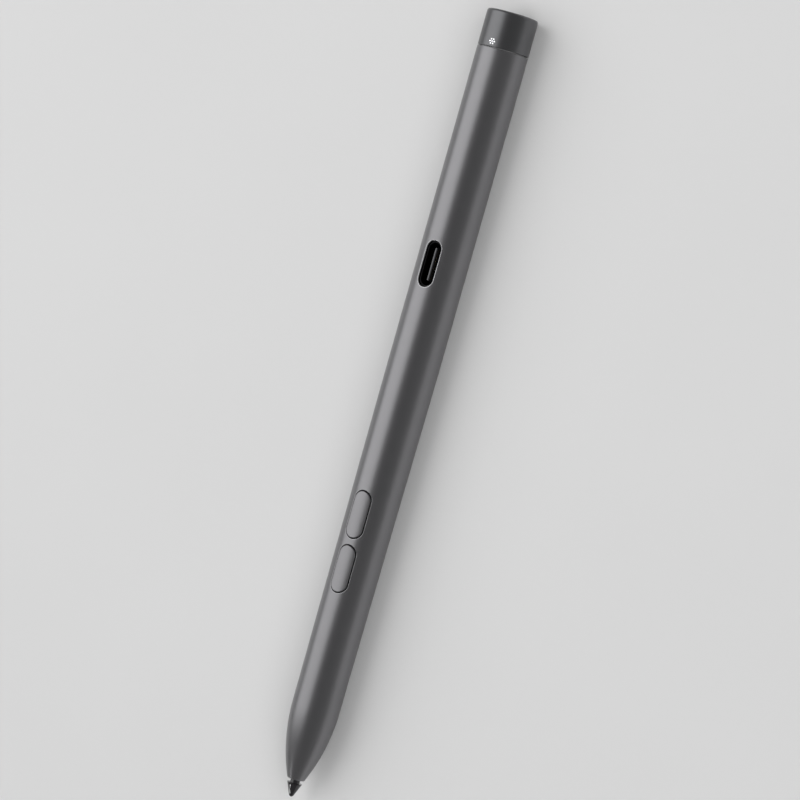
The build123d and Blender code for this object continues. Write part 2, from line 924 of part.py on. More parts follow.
# Tail frame: a foot screwed to the rear chassis and a cup whose two hooks hold the tail button
plug_form = pen_form(plug_inset, plug_start, plug_end)
plug_hollow = pen_form(plug_inset + plug_wall, plug_start, plug_end - plug_end_wall)
foot = block(foot_start, plug_start + foot_lap, foot_width, rear_floor_top, rear_board_top)
hook_middle = (skirt_start + tail_button_start) / 2
hook_reach = tail_radius - skirt_inset - skirt_wall / 2
hook_base = tail_radius - plug_inset - hook_root
hooks = [
    block(
        hook_middle - hook_length / 2,
        hook_middle + hook_length / 2,
        hook_reach - hook_base,
        tail_centre - hook_height / 2,
        tail_centre + hook_height / 2,
        side * (hook_reach + hook_base) / 2,
    )
    for side in (-1, 1)
]
with BuildPart() as tail_frame:
    add(plug_form)
    add(plug_hollow, mode=Mode.SUBTRACT)
    add(foot)
    for hook in hooks:
        add(hook)
    add(post(foot_screw, screw_clear_radius, rear_floor_top, rear_board_top), mode=Mode.SUBTRACT)

# Tail board with the tail switch, its plunger, the status LED and the chip antenna
tail_board_form = pen_form(plug_inset + tail_board_gap, plug_end, tail_board_end)
with BuildPart() as tail_board:
    add(tail_board_form)

tail_well_depth = tail_plunger_sink + plunger_room
with BuildPart() as tail_switch:
    add(
        block(
            tail_board_end,
            tail_switch_end,
            tail_switch_width,
            axis_height - tail_switch_width / 2,
            axis_height + tail_switch_width / 2,
        )
    )
    add(
        rod(tail_switch_end - tail_well_depth, tail_switch_end, tail_plunger_radius + run),
        mode=Mode.SUBTRACT,
    )

with BuildPart() as tail_switch_plunger:
    add(rod(tail_switch_end - tail_plunger_sink, tail_plunger_end, tail_plunger_radius))

lens_bottom = body_height - tail_cavity_inset - fit - lens_thickness
led_top = lens_bottom - led_gap
with BuildPart() as status_led:
    add(block(tail_board_end, tail_board_end + led_length, led_length, led_top - led_height, led_top))

antenna_bottom = tail_cavity_inset + antenna_gap
with BuildPart() as chip_antenna:
    add(
        block(
            tail_board_end,
            tail_board_end + antenna_height,
            antenna_length,
            antenna_bottom,
            antenna_bottom + antenna_width,
        )
    )

# Tail button: a domed D-shaped cap with a skirt that slides in the barrel and a post on the switch
tail_skin = pen_form(0, tail_button_start, overall_length)
skirt = pen_form(skirt_inset, skirt_start, tail_button_start + tail_end_wall)
tail_cavity = pen_form(tail_cavity_inset, skirt_start, tail_cavity_end)
hook_window_start = hook_middle - hook_length / 2 - hook_play
hook_window_end = hook_middle + hook_length / 2 + hook_room
hook_window = block(
    hook_window_start,
    hook_window_end,
    2 * body_width,
    tail_centre - hook_height / 2 - chassis_gap,
    tail_centre + hook_height / 2 + chassis_gap,
)
with BuildPart() as tail_dome:
    with Locations((overall_length / 2 - tail_dome_radius, 0, axis_height)):
        Sphere(tail_dome_radius, rotation=(0, 0, 180))
with BuildPart() as tail_button:
    add(tail_skin)
    flat_corners = tail_button.edges().filter_by(Axis.X).group_by(Axis.Z)[0]
    fillet(flat_corners, tail_end_fillet + tail_corner_spare)
    add(tail_dome.part, mode=Mode.INTERSECT)
    fillet(tail_button.faces().sort_by(Axis.X)[-1].edges(), tail_end_fillet)
    chamfer(tail_button.faces().sort_by(Axis.X)[0].edges(), seam_edge_chamfer)
    add(skirt)
    add(tail_cavity, mode=Mode.SUBTRACT)
    add(rod(tail_plunger_end, tail_cavity_end + fit, post_radius))
    add(hook_window, mode=Mode.SUBTRACT)
    with BuildSketch(top_plane.offset(axis_height)):
        with Locations((lens_middle, 0)):
            Circle(dot_radius + fit)
            with PolarLocations(dot_ring_radius, dot_count, dot_ring_turn):
                Circle(dot_radius + fit)
    extrude(amount=body_height, mode=Mode.SUBTRACT)

# Light guide: a plate inside the tail button with seven pips that end flush in its skin
lens_plate = block(
    lens_middle - lens_length / 2,
    lens_middle + lens_length / 2,
    lens_length,
    lens_bottom,
    body_height,
)
lens_plate_form = pen_form(tail_cavity_inset + fit, skirt_start, tail_cavity_end)
with BuildPart() as indicator_lens:
    add(lens_plate)
    add(lens_plate_form, mode=Mode.INTERSECT)
    with BuildSketch(top_plane.offset(lens_bottom)):
        with Locations((lens_middle, 0)):
            Circle(dot_radius)
            with PolarLocations(dot_ring_radius, dot_count, dot_ring_turn):
                Circle(dot_radius)
    extrude(amount=body_height - lens_bottom + overrun)
    add(tail_skin, mode=Mode.INTERSECT)

pieces = {
    "barrel": barrel,
    "tail_button": tail_button,
    "indicator_lens": indicator_lens,
    "lower_button": lower_button,
    "upper_button": upper_button,
    "lower_switch": lower_switch,
    "upper_switch": upper_switch,
    "lower_switch_plunger": lower_switch_plunger,
    "upper_switch_plunger": upper_switch_plunger,
    "nib": nib,
    "nib_holder": nib_holder,
    "nib_spring": nib_spring,
    "nose_bush": nose_bush,
    "tilt_electrode": tilt_electrode,
    "tip_guide": tip_guide,
    "sensor_pad": sensor_pad,
    "force_sensor": force_sensor,
    "front_chassis": front_chassis,
    "front_board": front_board,
    "controller_chip": controller_chip,
    "front_components": front_components,
    "battery_cell": battery_cell,
    "battery_foam": battery_foam,
    "battery_tabs": battery_tabs,
    "flex_cable": flex_cable,
    "rear_chassis": rear_chassis,
    "front_magnets": front_magnets,
    "rear_magnets": rear_magnets,
    "rear_board": rear_board,
    "charger_chip": charger_chip,
    "radio_module": radio_module,
    "rear_components": rear_components,
    "usb_shell": usb_shell,
    "usb_tongue": usb_tongue,
    "usb_contacts": usb_contacts,
    "port_seal": port_seal,
    "sounder": sounder,
    "sounder_gasket": sounder_gasket,
    "sound_mesh": sound_mesh,
    "board_screws": board_screws,
    "tail_frame": tail_frame,
    "tail_board": tail_board,
    "tail_switch": tail_switch,
    "tail_switch_plunger": tail_switch_plunger,
    "status_led": status_led,
    "chip_antenna": chip_antenna,
}
os.makedirs("parts", exist_ok=True)
for name, piece in pieces.items():
    piece.part.label = name
    export_step(piece.part, f"parts/{name}.step")
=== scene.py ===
"""Looks of a rechargeable stylus pen: fine meshes, finishes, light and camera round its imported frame.

Lengths are millimetres in the pen's own measure: s runs from the tip to the tail, y across, z up
from the table. Meshes are made in the frame's metres.
"""

import logging
import math
from dataclasses import dataclass, field
from enum import Enum
from typing import Callable, Sequence, Union

import bmesh
import bpy
from mathutils import Matrix, Vector
from mathutils.geometry import delaunay_2d_cdt


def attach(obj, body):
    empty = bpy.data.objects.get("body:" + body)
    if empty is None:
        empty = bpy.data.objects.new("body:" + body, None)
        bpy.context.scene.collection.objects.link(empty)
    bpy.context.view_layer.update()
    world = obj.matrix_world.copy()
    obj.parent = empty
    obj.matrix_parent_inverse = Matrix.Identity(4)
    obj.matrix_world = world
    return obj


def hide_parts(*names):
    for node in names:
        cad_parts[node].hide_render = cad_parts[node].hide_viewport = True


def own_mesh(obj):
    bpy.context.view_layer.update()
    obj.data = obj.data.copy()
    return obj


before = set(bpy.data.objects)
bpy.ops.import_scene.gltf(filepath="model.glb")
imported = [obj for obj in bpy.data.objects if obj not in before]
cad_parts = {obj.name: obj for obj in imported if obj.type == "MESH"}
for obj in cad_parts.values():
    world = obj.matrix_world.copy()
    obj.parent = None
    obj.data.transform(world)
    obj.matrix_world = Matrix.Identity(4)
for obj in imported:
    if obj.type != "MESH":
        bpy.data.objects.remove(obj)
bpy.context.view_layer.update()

LOG = logging.getLogger("stylus_pen")

MM = 0.001
TURN = 2 * math.pi
PEN_LENGTH = 156.0
LOWER_BUTTON_MIDDLE = 45.7
UPPER_BUTTON_MIDDLE = 56.47
PORT_MIDDLE = 106.1
SOUND_MIDDLE = 130.9
PICTURE_PIXELS = 800
UNROLL_RADIUS = 5.0
PILL_STEPS = 24
EDGE_STEPS = 3
ROD_SIDES = 32
MERGE_GAP = 1e-6
SMALL_STEP = 1e-3
HULL_TRIANGLES = 0
INNER_TRIANGLES = 1

Place = tuple[float, float, float]
Spot = tuple[float, float]
Colour = tuple[float, float, float]
Value = Union["Flow", float, int, bool, str, tuple, bpy.types.Material]


class Zone(Enum):
    """The finish slot of a face within its piece."""

    SKIN = 0
    RIM = 1
    INSIDE = 2


class Kind(Enum):
    """What a finish is on, by how metallic it is."""

    NON_METAL = 0.0
    METAL = 1.0


class Body(Enum):
    """The bodies of the frame that pieces ride on."""

    PEN = "pen_body"
    TAIL_BUTTON = "tail_button"
    UPPER_BUTTON = "upper_button"
    LOWER_BUTTON = "lower_button"
    NIB = "nib"


class Flow:
    """A node's output that takes part in sums, each of which adds one Math node."""

    def __init__(self, tree: "Tree", socket: bpy.types.NodeSocket) -> None:
        """Wraps one output socket of a tree."""
        self.tree = tree
        self.socket = socket

    def _sum(self, operation: str, first: Value, second: Value) -> "Flow":
        """Adds the Math node of one operation to the tree."""
        return self.tree.add("ShaderNodeMath", {"operation": operation}, {0: first, 1: second})

    def __add__(self, other: Value) -> "Flow":
        """This flow plus another value."""
        return self._sum("ADD", self, other)

    def __radd__(self, other: Value) -> "Flow":
        """Another value plus this flow."""
        return self._sum("ADD", other, self)

    def __sub__(self, other: Value) -> "Flow":
        """This flow less another value."""
        return self._sum("SUBTRACT", self, other)

    def __rsub__(self, other: Value) -> "Flow":
        """Another value less this flow."""
        return self._sum("SUBTRACT", other, self)

    def __mul__(self, other: Value) -> "Flow":
        """This flow times another value."""
        return self._sum("MULTIPLY", self, other)

    def __rmul__(self, other: Value) -> "Flow":
        """Another value times this flow."""
        return self._sum("MULTIPLY", other, self)

    def __gt__(self, other: Value) -> "Flow":
        """One where this flow is above another value, and nothing elsewhere."""
        return self._sum("GREATER_THAN", self, other)


class Tree:
    """A node tree of a material, a world or a modifier, written node by node."""

    def __init__(self, tree: bpy.types.NodeTree) -> None:
        """Empties a node tree and keeps it."""
        self.tree = tree
        self.tree.nodes.clear()

    def add(
        self,
        kind: str,
        settings: dict[str, object] | None = None,
        inputs: dict[str | int, Value] | None = None,
        output: str | int = 0,
    ) -> Flow:
        """Adds a node of any type.

        Args:
            kind: The node's type.
            settings: Its attributes, set first; "stops" holds the stops of a ramp.
            inputs: Values or flows by socket name, identifier or number.
            output: The output that is wanted, by name or number.

        Returns:
            That output.
        """
        node = self.tree.nodes.new(kind)
        for key, setting in (settings or {}).items():
            if key == "stops":
                self._set_stops(node.color_ramp, setting)
            else:
                setattr(node, key, setting)
        for key, value in (inputs or {}).items():
            named = [socket for socket in node.inputs if socket.identifier == key]
            socket = named[0] if named else node.inputs[key]
            if isinstance(value, Flow):
                self.tree.links.new(value.socket, socket)
            else:
                socket.default_value = value
        return Flow(self, node.outputs[output] if len(node.outputs) else None)

    @staticmethod
    def _set_stops(ramp: bpy.types.ColorRamp, stops: Sequence[tuple[float, Colour]]) -> None:
        """Gives a ramp its stops.

        Args:
            ramp: The ramp, which has two stops of its own.
            stops: Places from 0 to 1 and their colours.
        """
        while len(ramp.elements) < len(stops):
            ramp.elements.new(1.0)
        for element, (place, colour) in zip(ramp.elements, stops):
            element.position = place
            element.color = (*colour, 1.0)

    def mix(self, share: Value, first: Value, second: Value) -> Flow:
        """A colour between two colours, by a share from 0 to 1."""
        inputs = {"Factor_Float": share, "A_Color": first, "B_Color": second}
        return self.add("ShaderNodeMix", {"data_type": "RGBA"}, inputs, 2)

    def scaled(self, stretch: Place) -> Flow:
        """The piece's own coordinates in millimetres.

        Args:
            stretch: What they are divided by along each axis.

        Returns:
            The coordinates.
        """
        scale = tuple(1 / (MM * share) for share in stretch)
        place = self.add("ShaderNodeTexCoord", output="Object")
        return self.add("ShaderNodeMapping", None, {"Vector": place, "Scale": scale})

    def noise(self, size: float, detail: float = 2.0, stretch: Place = (1.0, 1.0, 1.0)) -> Flow:
        """Noise of a size in millimetres, from 0 to 1."""
        inputs = {"Vector": self.scaled(stretch), "Scale": 1 / size, "Detail": detail}
        return self.add("ShaderNodeTexNoise", None, inputs, "Fac")


MADE_FINISHES: dict[str, bpy.types.Material] = {}


def toned(colour: Colour, share: float) -> tuple[float, float, float, float]:
    """A colour times a share, as a node takes it."""
    return (*(min(1.0, part * share) for part in colour), 1.0)


@dataclass(frozen=True)
class Grain:
    """The fine relief of a finish in millimetres, drawn out along each axis by a stretch."""

    size: float
    relief: float
    stretch: Place = (1.0, 1.0, 1.0)


@dataclass(frozen=True)
class Mottle:
    """The unevenness of a finish: its size in millimetres, and its swings as shares of colour and gloss."""

    size: float = 2.5
    colour: float = 0.08
    gloss: float = 0.15
    gloss_patches: int = 4
    gloss_detail: float = 3.0


@dataclass(frozen=True)
class Finish:
    """A surface finish: mottled colour, uneven gloss and a fine grain."""

    name: str
    colour: Colour
    roughness: float
    kind: Kind
    grain: Grain
    mottle: Mottle = Mottle()
    specular: float = 0.5
    coat: float = 0.0
    glow: float = 0.0

    def base(self, tree: Tree) -> Flow:
        """The colour, mottled a little."""
        deep, pale = (toned(self.colour, 1 + side * self.mottle.colour) for side in (-1, 1))
        return tree.mix(tree.noise(self.mottle.size), deep, pale)

    def height(self, tree: Tree) -> Flow:
        """The relief of the grain, from 0 to 1."""
        return tree.noise(self.grain.size, 1.0, self.grain.stretch)

    def material(self) -> bpy.types.Material:
        """Makes the material once, and hands out the same one after that.

        Returns:
            The finish as a material.
        """
        if self.name in MADE_FINISHES:
            return MADE_FINISHES[self.name]
        made = bpy.data.materials.new("finish_" + self.name)
        made.use_nodes = True
        MADE_FINISHES[self.name] = made
        tree = Tree(made.node_tree)
        swing, patch = self.roughness * self.mottle.gloss, self.mottle.size / self.mottle.gloss_patches
        gloss = tree.noise(patch, self.mottle.gloss_detail, self.grain.stretch)
        uneven = gloss * (2 * swing) + (self.roughness - swing)
        bump_inputs = {"Height": self.height(tree), "Distance": self.grain.relief * MM, "Strength": 1.0}
        inputs = {
            "Base Color": self.base(tree),
            "Roughness": uneven,
            "Metallic": self.kind.value,
            "Specular IOR Level": self.specular,
            "Coat Weight": self.coat,
            "Emission Color": toned(self.colour, 1.0),
            "Emission Strength": self.glow,
            "Normal": tree.add("ShaderNodeBump", None, bump_inputs),
        }
        shader = tree.add("ShaderNodeBsdfPrincipled", None, inputs)
        tree.add("ShaderNodeOutputMaterial", None, {"Surface": shader})
        return made


@dataclass(frozen=True)
class BoardFinish(Finish):
    """Solder mask or film with copper tracks showing through it."""

    track: Colour = (0.03, 0.12, 0.05)
    pitch: float = 0.5
    track_share: float = 0.45
    patch: float = 4.0

    def lines(self, tree: Tree) -> Flow:
        """One on a track and nothing between, on a bent grid.

        Args:
            tree: The material's tree.

        Returns:
            The tracks as a mask.
        """
        bend = tree.add("ShaderNodeSeparateXYZ", None, {0: tree.scaled((1.0, 1.0, 1.0))}, "Y")
        shift = (tree.noise(self.patch) > 0.5) * (self.pitch / 2)
        turns = (bend + shift) * (1 / self.pitch)
        part = tree.add("ShaderNodeMath", {"operation": "FRACT"}, {0: turns})
        return part > (1 - self.track_share)

    def base(self, tree: Tree) -> Flow:
        """The mask's colour with its tracks."""
        return tree.mix(self.lines(tree), toned(self.colour, 1.0), toned(self.track, 1.0))

    def height(self, tree: Tree) -> Flow:
        """The tracks stand up under the mask."""
        return self.lines(tree)


ANODISED = Finish(
    "anodised_aluminium",
    (0.238, 0.236, 0.244),
    0.37,
    Kind.METAL,
    Grain(0.05, 0.0012),
    Mottle(3.0, 0.03, 0.07),
)
CUT_RIM = Finish(
    "cut_aluminium", (0.45, 0.45, 0.46), 0.26, Kind.METAL, Grain(0.05, 0.0006), Mottle(2.0, 0.04, 0.1)
)
# Painted shade: near-black metal on the barrel's inner walls and the buttons' sunken sides, so the openings
# and grooves read as shadowed.
INNER_WALL_SHADE = Finish(
    "inner_aluminium_painted_shade",
    (0.03, 0.03, 0.032),
    0.55,
    Kind.METAL,
    Grain(0.3, 0.003, (8.0, 1.0, 1.0)),
    Mottle(2.0, 0.06, 0.1),
)
TAIL_SHELL = Finish(
    "tail_shell", (0.155, 0.156, 0.161), 0.36, Kind.METAL, Grain(0.05, 0.0012), Mottle(2.0, 0.04, 0.08)
)
TAIL_RIM = Finish(
    "tail_shell_rim", (0.22, 0.22, 0.226), 0.32, Kind.METAL, Grain(0.05, 0.0008), Mottle(2.0, 0.04, 0.08)
)
LIGHT_GUIDE = Finish(
    "light_guide",
    (0.9, 0.91, 0.93),
    0.25,
    Kind.NON_METAL,
    Grain(0.2, 0.001),
    Mottle(0.6, 0.03, 0.1),
    glow=0.8,
)
NIB_POLYMER = Finish(
    "nib_polymer",
    (0.012, 0.0105, 0.0125),
    0.13,
    Kind.NON_METAL,
    Grain(0.08, 0.0004),
    Mottle(0.8, 0.1, 0.15),
    specular=0.35,
    coat=0.55,
)
# Pale polymer of the tail button's skirt and cavity, its tone lifted as painted light so the seam to the
# barrel shows less shade.
PALE_POLYMER_SEAM_LIGHT = Finish(
    "pale_polymer_seam_light", (0.52, 0.52, 0.525), 0.5, Kind.NON_METAL, Grain(0.12, 0.006), Mottle(2.5, 0.08, 0.12)
)
BLACK_POLYMER = Finish(
    "black_polymer", (0.018, 0.018, 0.02), 0.48, Kind.NON_METAL, Grain(0.12, 0.006), Mottle(2.5, 0.12, 0.15)
)
PLUNGER = Finish(
    "plunger_polymer", (0.5, 0.48, 0.43), 0.42, Kind.NON_METAL, Grain(0.1, 0.003), Mottle(1.0, 0.06, 0.1)
)
# Painted highlight: the black tongue's rounded tip gets a lighter grey metal so that it shows a bright
# line.
TONGUE_TIP_HIGHLIGHT = Finish(
    "tongue_tip_painted_highlight", (0.12, 0.12, 0.125), 0.26, Kind.METAL, Grain(0.1, 0.001), Mottle(1.5, 0.1, 0.15)
)
# Black plating, darkened further as painted shade so the port's rolled mouth reads as the shadow inside the
# slot.
PORT_SHELL = Finish(
    "black_nickel_and_painted_shade", (0.028, 0.028, 0.03), 0.3, Kind.METAL, Grain(0.1, 0.001), Mottle(1.5, 0.1, 0.15)
)
BRIGHT_STEEL = Finish(
    "bright_steel",
    (0.56, 0.56, 0.57),
    0.28,
    Kind.METAL,
    Grain(0.05, 0.001, (6.0, 1.0, 1.0)),
    Mottle(1.5, 0.05, 0.15),
)
GAUZE = Finish(
    "sound_gauze", (0.06, 0.06, 0.062), 0.45, Kind.METAL, Grain(0.03, 0.001), Mottle(0.5, 0.1, 0.1)
)
COPPER = Finish(
    "copper",
    (0.72, 0.37, 0.23),
    0.35,
    Kind.METAL,
    Grain(0.08, 0.002, (5.0, 1.0, 1.0)),
    Mottle(1.5, 0.1, 0.2),
)
GILT = Finish(
    "gilt_contact", (0.83, 0.61, 0.27), 0.24, Kind.METAL, Grain(0.06, 0.001), Mottle(0.8, 0.06, 0.15)
)
NICKEL = Finish(
    "nickel_tab",
    (0.55, 0.53, 0.49),
    0.36,
    Kind.METAL,
    Grain(0.06, 0.002, (6.0, 1.0, 1.0)),
    Mottle(1.0, 0.06, 0.2),
)
RUBBER = Finish(
    "black_rubber", (0.02, 0.02, 0.02), 0.75, Kind.NON_METAL, Grain(0.15, 0.01), Mottle(1.2, 0.15, 0.1)
)
BOARD = BoardFinish("circuit_board", (0.012, 0.05, 0.025), 0.4, Kind.NON_METAL, Grain(0.1, 0.02))
CHIP = Finish(
    "chip_black", (0.025, 0.025, 0.027), 0.55, Kind.NON_METAL, Grain(0.08, 0.005), Mottle(1.0, 0.12, 0.12)
)
CERAMIC = Finish(
    "chip_ceramic", (0.36, 0.25, 0.16), 0.5, Kind.NON_METAL, Grain(0.08, 0.003), Mottle(0.6, 0.1, 0.12)
)
TIN = Finish("chip_tin", (0.62, 0.62, 0.6), 0.4, Kind.METAL, Grain(0.06, 0.003), Mottle(0.4, 0.06, 0.15))
CELL_WRAP = Finish(
    "battery_can",
    (0.1, 0.16, 0.28),
    0.38,
    Kind.NON_METAL,
    Grain(0.25, 0.003, (6.0, 1.0, 1.0)),
    Mottle(4.0, 0.07, 0.12),
)
FILM = BoardFinish(
    "flex_film",
    (0.42, 0.17, 0.03),
    0.3,
    Kind.NON_METAL,
    Grain(0.1, 0.01),
    track=(0.3, 0.1, 0.02),
    pitch=0.35,
)
MAGNET = Finish(
    "magnet_nickel", (0.6, 0.59, 0.57), 0.22, Kind.METAL, Grain(0.1, 0.001), Mottle(2.0, 0.04, 0.15)
)
LED_BODY = Finish(
    "led_body", (0.78, 0.76, 0.66), 0.4, Kind.NON_METAL, Grain(0.08, 0.002), Mottle(0.5, 0.06, 0.12)
)
FLOOR = Finish(
    "pale_floor",
    (0.7, 0.7, 0.7),
    0.7,
    Kind.NON_METAL,
    Grain(0.8, 0.01),
    Mottle(60.0, 0.02, 0.05),
    specular=0.2,
)

NODE_FINISHES: dict[str, Finish] = {
    "lower_switch": BRIGHT_STEEL,
    "upper_switch": BRIGHT_STEEL,
    "tail_switch": BRIGHT_STEEL,
    "radio_module": BRIGHT_STEEL,
    "lower_switch_plunger": PLUNGER,
    "upper_switch_plunger": PLUNGER,
    "tail_switch_plunger": PLUNGER,
    "nib_holder": BLACK_POLYMER,
    "tip_guide": BLACK_POLYMER,
    "front_chassis": BLACK_POLYMER,
    "rear_chassis": BLACK_POLYMER,
    "tail_frame": BLACK_POLYMER,
    "tilt_electrode": COPPER,
    "sensor_pad": RUBBER,
    "port_seal": RUBBER,
    "sounder_gasket": RUBBER,
    "battery_foam": RUBBER,
    "front_board": BOARD,
    "rear_board": BOARD,
    "tail_board": BOARD,
    "controller_chip": CHIP,
    "charger_chip": CHIP,
    "sounder": CHIP,
    "force_sensor": CHIP,
    "chip_antenna": CERAMIC,
    "battery_cell": CELL_WRAP,
    "battery_tabs": NICKEL,
    "flex_cable": FILM,
    "front_magnets": MAGNET,
    "rear_magnets": MAGNET,
    "status_led": LED_BODY,
}


@dataclass
class PieceMesh:
    """A piece's points and faces in pen millimetres, gathered before they become one mesh."""

    points: list[Place] = field(default_factory=list)
    normals: dict[int, Vector] = field(default_factory=dict)
    faces: list[tuple[int, ...]] = field(default_factory=list)
    zones: list[Zone] = field(default_factory=list)
    exact: list[bool] = field(default_factory=list)

    def point(self, place: Place, normal: Vector | None = None) -> int:
        """Adds a point.

        Args:
            place: Where it is.
            normal: The skin's own direction there, if it is known exactly.

        Returns:
            The point's number.
        """
        self.points.append(place)
        if normal is not None:
            self.normals[len(self.points) - 1] = normal
        return len(self.points) - 1

    def ring(self, places: Sequence[Place]) -> list[int]:
        """Adds a row of points."""
        return [self.point(place) for place in places]

    def face(self, corners: Sequence[int], zone: Zone, exact: bool = False) -> None:
        """Adds a face.

        Args:
            corners: Its points' numbers, in order.
            zone: The finish slot.
            exact: Whether it is shaded by its points' own normals.
        """
        self.faces.append(tuple(corners))
        self.zones.append(zone)
        self.exact.append(exact)

    def band(self, first: Sequence[int], second: Sequence[int], zone: Zone) -> None:
        """Joins two closed rings of equal count by a band of faces."""
        for i, j in closed_edges(0, len(first)):
            self.face((first[i], first[j], second[j], second[i]), zone)

    def bands(self, rings: Sequence[Sequence[int]], zone: Zone) -> None:
        """Joins a row of rings, each to the next."""
        for first, second in zip(rings, rings[1:]):
            self.band(first, second, zone)

    def cap(self, ring: Sequence[int], zone: Zone) -> None:
        """Closes a ring by a fan to its middle."""
        places = [Vector(self.points[i]) for i in ring]
        self.fan(ring, tuple(sum(places, Vector()) / len(places)), zone)

    def fan(self, ring: Sequence[int], place: Place, zone: Zone) -> None:
        """Closes a ring by a fan to a point.

        Args:
            ring: The ring.
            place: Where the fan meets.
            zone: The finish slot.
        """
        middle = self.point(place)
        for i, j in closed_edges(0, len(ring)):
            self.face((ring[i], ring[j], middle), zone)

    def piece(self, name: str, finishes: Sequence[Finish], crease: float = 25.0) -> bpy.types.Object:
        """Makes the finished piece, with its faces turned outwards.

        Args:
            name: The piece's name.
            finishes: The finishes of its zones, in order.
            crease: The angle in degrees past which an edge is drawn sharp.

        Returns:
            The piece's object, at the origin.
        """
        mesh = bpy.data.meshes.new(name)
        half = PEN_LENGTH / 2
        mesh.from_pydata([((s - half) * MM, y * MM, z * MM) for s, y, z in self.points], [], self.faces)
        mesh.polygons.foreach_set("material_index", [zone.value for zone in self.zones])
        work = bmesh.new()
        work.from_mesh(mesh)
        bmesh.ops.recalc_face_normals(work, faces=work.faces)
        work.to_mesh(mesh)
        work.free()
        for finish in finishes:
            mesh.materials.append(finish.material())
        mesh.shade_smooth()
        mesh.set_sharp_from_angle(angle=math.radians(crease))
        if self.normals:
            corners = []
            for polygon, exact in zip(mesh.polygons, self.exact):
                for vertex in polygon.vertices:
                    known = exact and vertex in self.normals
                    corners.append(self.normals[vertex] if known else Vector())
            mesh.normals_split_custom_set(corners)
        return linked(name, mesh)


def closed_edges(first: int, count: int) -> list[tuple[int, int]]:
    """Pairs of neighbours on a closed loop of numbers that starts at the first."""
    return [(first + i, first + (i + 1) % count) for i in range(count)]


def linked(name: str, mesh: bpy.types.Mesh) -> bpy.types.Object:
    """Adds an object to the scene.

    Args:
        name: Its name.
        mesh: The mesh that it shows.

    Returns:
        The object.
    """
    made = bpy.data.objects.new(name, mesh)
    bpy.context.scene.collection.objects.link(made)
    return made


def settle(piece: bpy.types.Object, body: Body, slot: str, *nodes: str) -> None:
    """Puts a piece on its body in place of the nodes that it stands for.

    Args:
        piece: The finished piece.
        body: The body that it moves with.
        slot: The record's material slot; not used.
        nodes: The frame's nodes that it replaces.
    """
    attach(piece, body.value)
    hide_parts(*nodes)
    LOG.info("%s: %d faces on %s", piece.name, len(piece.data.polygons), body.value)


def inside(spot: Spot, loop: Sequence[Spot]) -> bool:
    """Says whether a spot lies inside a closed loop.

    Args:
        spot: The spot.
        loop: The loop's corners.

    Returns:
        Whether a line from the spot crosses the loop an odd number of times.
    """
    x, y = spot
    odd = False
    for (ax, ay), (bx, by) in zip(loop, [*loop[1:], loop[0]]):
        if (ay > y) != (by > y) and x < ax + (y - ay) * (bx - ax) / (by - ay):
            odd = not odd
    return odd


def near(spot: Spot, loop: Sequence[Spot], gap: float) -> bool:
    """Says whether a spot lies inside a loop or within a gap of its corners."""
    return any(math.dist(spot, corner) < gap for corner in loop) or inside(spot, loop)


def pill(middle: float, length: float, width: float) -> list[Spot]:
    """A pill's outline on the pen's middle line: two half circles and the straight runs between them.

    Args:
        middle: Its middle along the pen.
        length: Its length along the pen.
        width: Its width across.

    Returns:
        The outline, with points along the runs as well.
    """
    radius, reach = width / 2, (length - width) / 2
    outline: list[Spot] = []
    for side in (1, -1):
        for i in range(PILL_STEPS + 1):
            turn = math.pi * i / PILL_STEPS - math.pi / 2
            outline.append((side * (reach + radius * math.cos(turn)), side * radius * math.sin(turn)))
        for i in range(1, PILL_STEPS):
            outline.append((side * reach * (1 - 2 * i / PILL_STEPS), side * radius))
    return [(middle + s, y) for s, y in outline]


def circle(middle: Spot, radius: float, count: int, start: float = 0.0) -> list[Spot]:
    """A circle's outline as evenly spaced spots, the first at an angle."""
    turns = [start + TURN * i / count for i in range(count)]
    return [(middle[0] + radius * math.cos(t), middle[1] + radius * math.sin(t)) for t in turns]


def spread(first: float, last: float, step: float) -> list[float]:
    """Evenly spaced values from first to last, about a step apart, both ends included."""
    count = max(1, round((last - first) / step))
    return [first + (last - first) * i / count for i in range(count + 1)]


@dataclass
class Sheet:
    """The rows of points that other faces of a piece join on to."""

    start: list[int]
    end: list[int]
    loops: list[list[int]]


def corners_of(flat: Sequence[Vector], edges: Sequence[tuple[int, int]], kind: int) -> list[list[int]]:
    """The corners of each triangle between flat spots, in their hull or only inside their edges."""
    _, _, triangles, origins, _, _ = delaunay_2d_cdt(flat, edges, [], kind, MERGE_GAP)
    return [[origins[i][0] for i in triangle] for triangle in triangles]


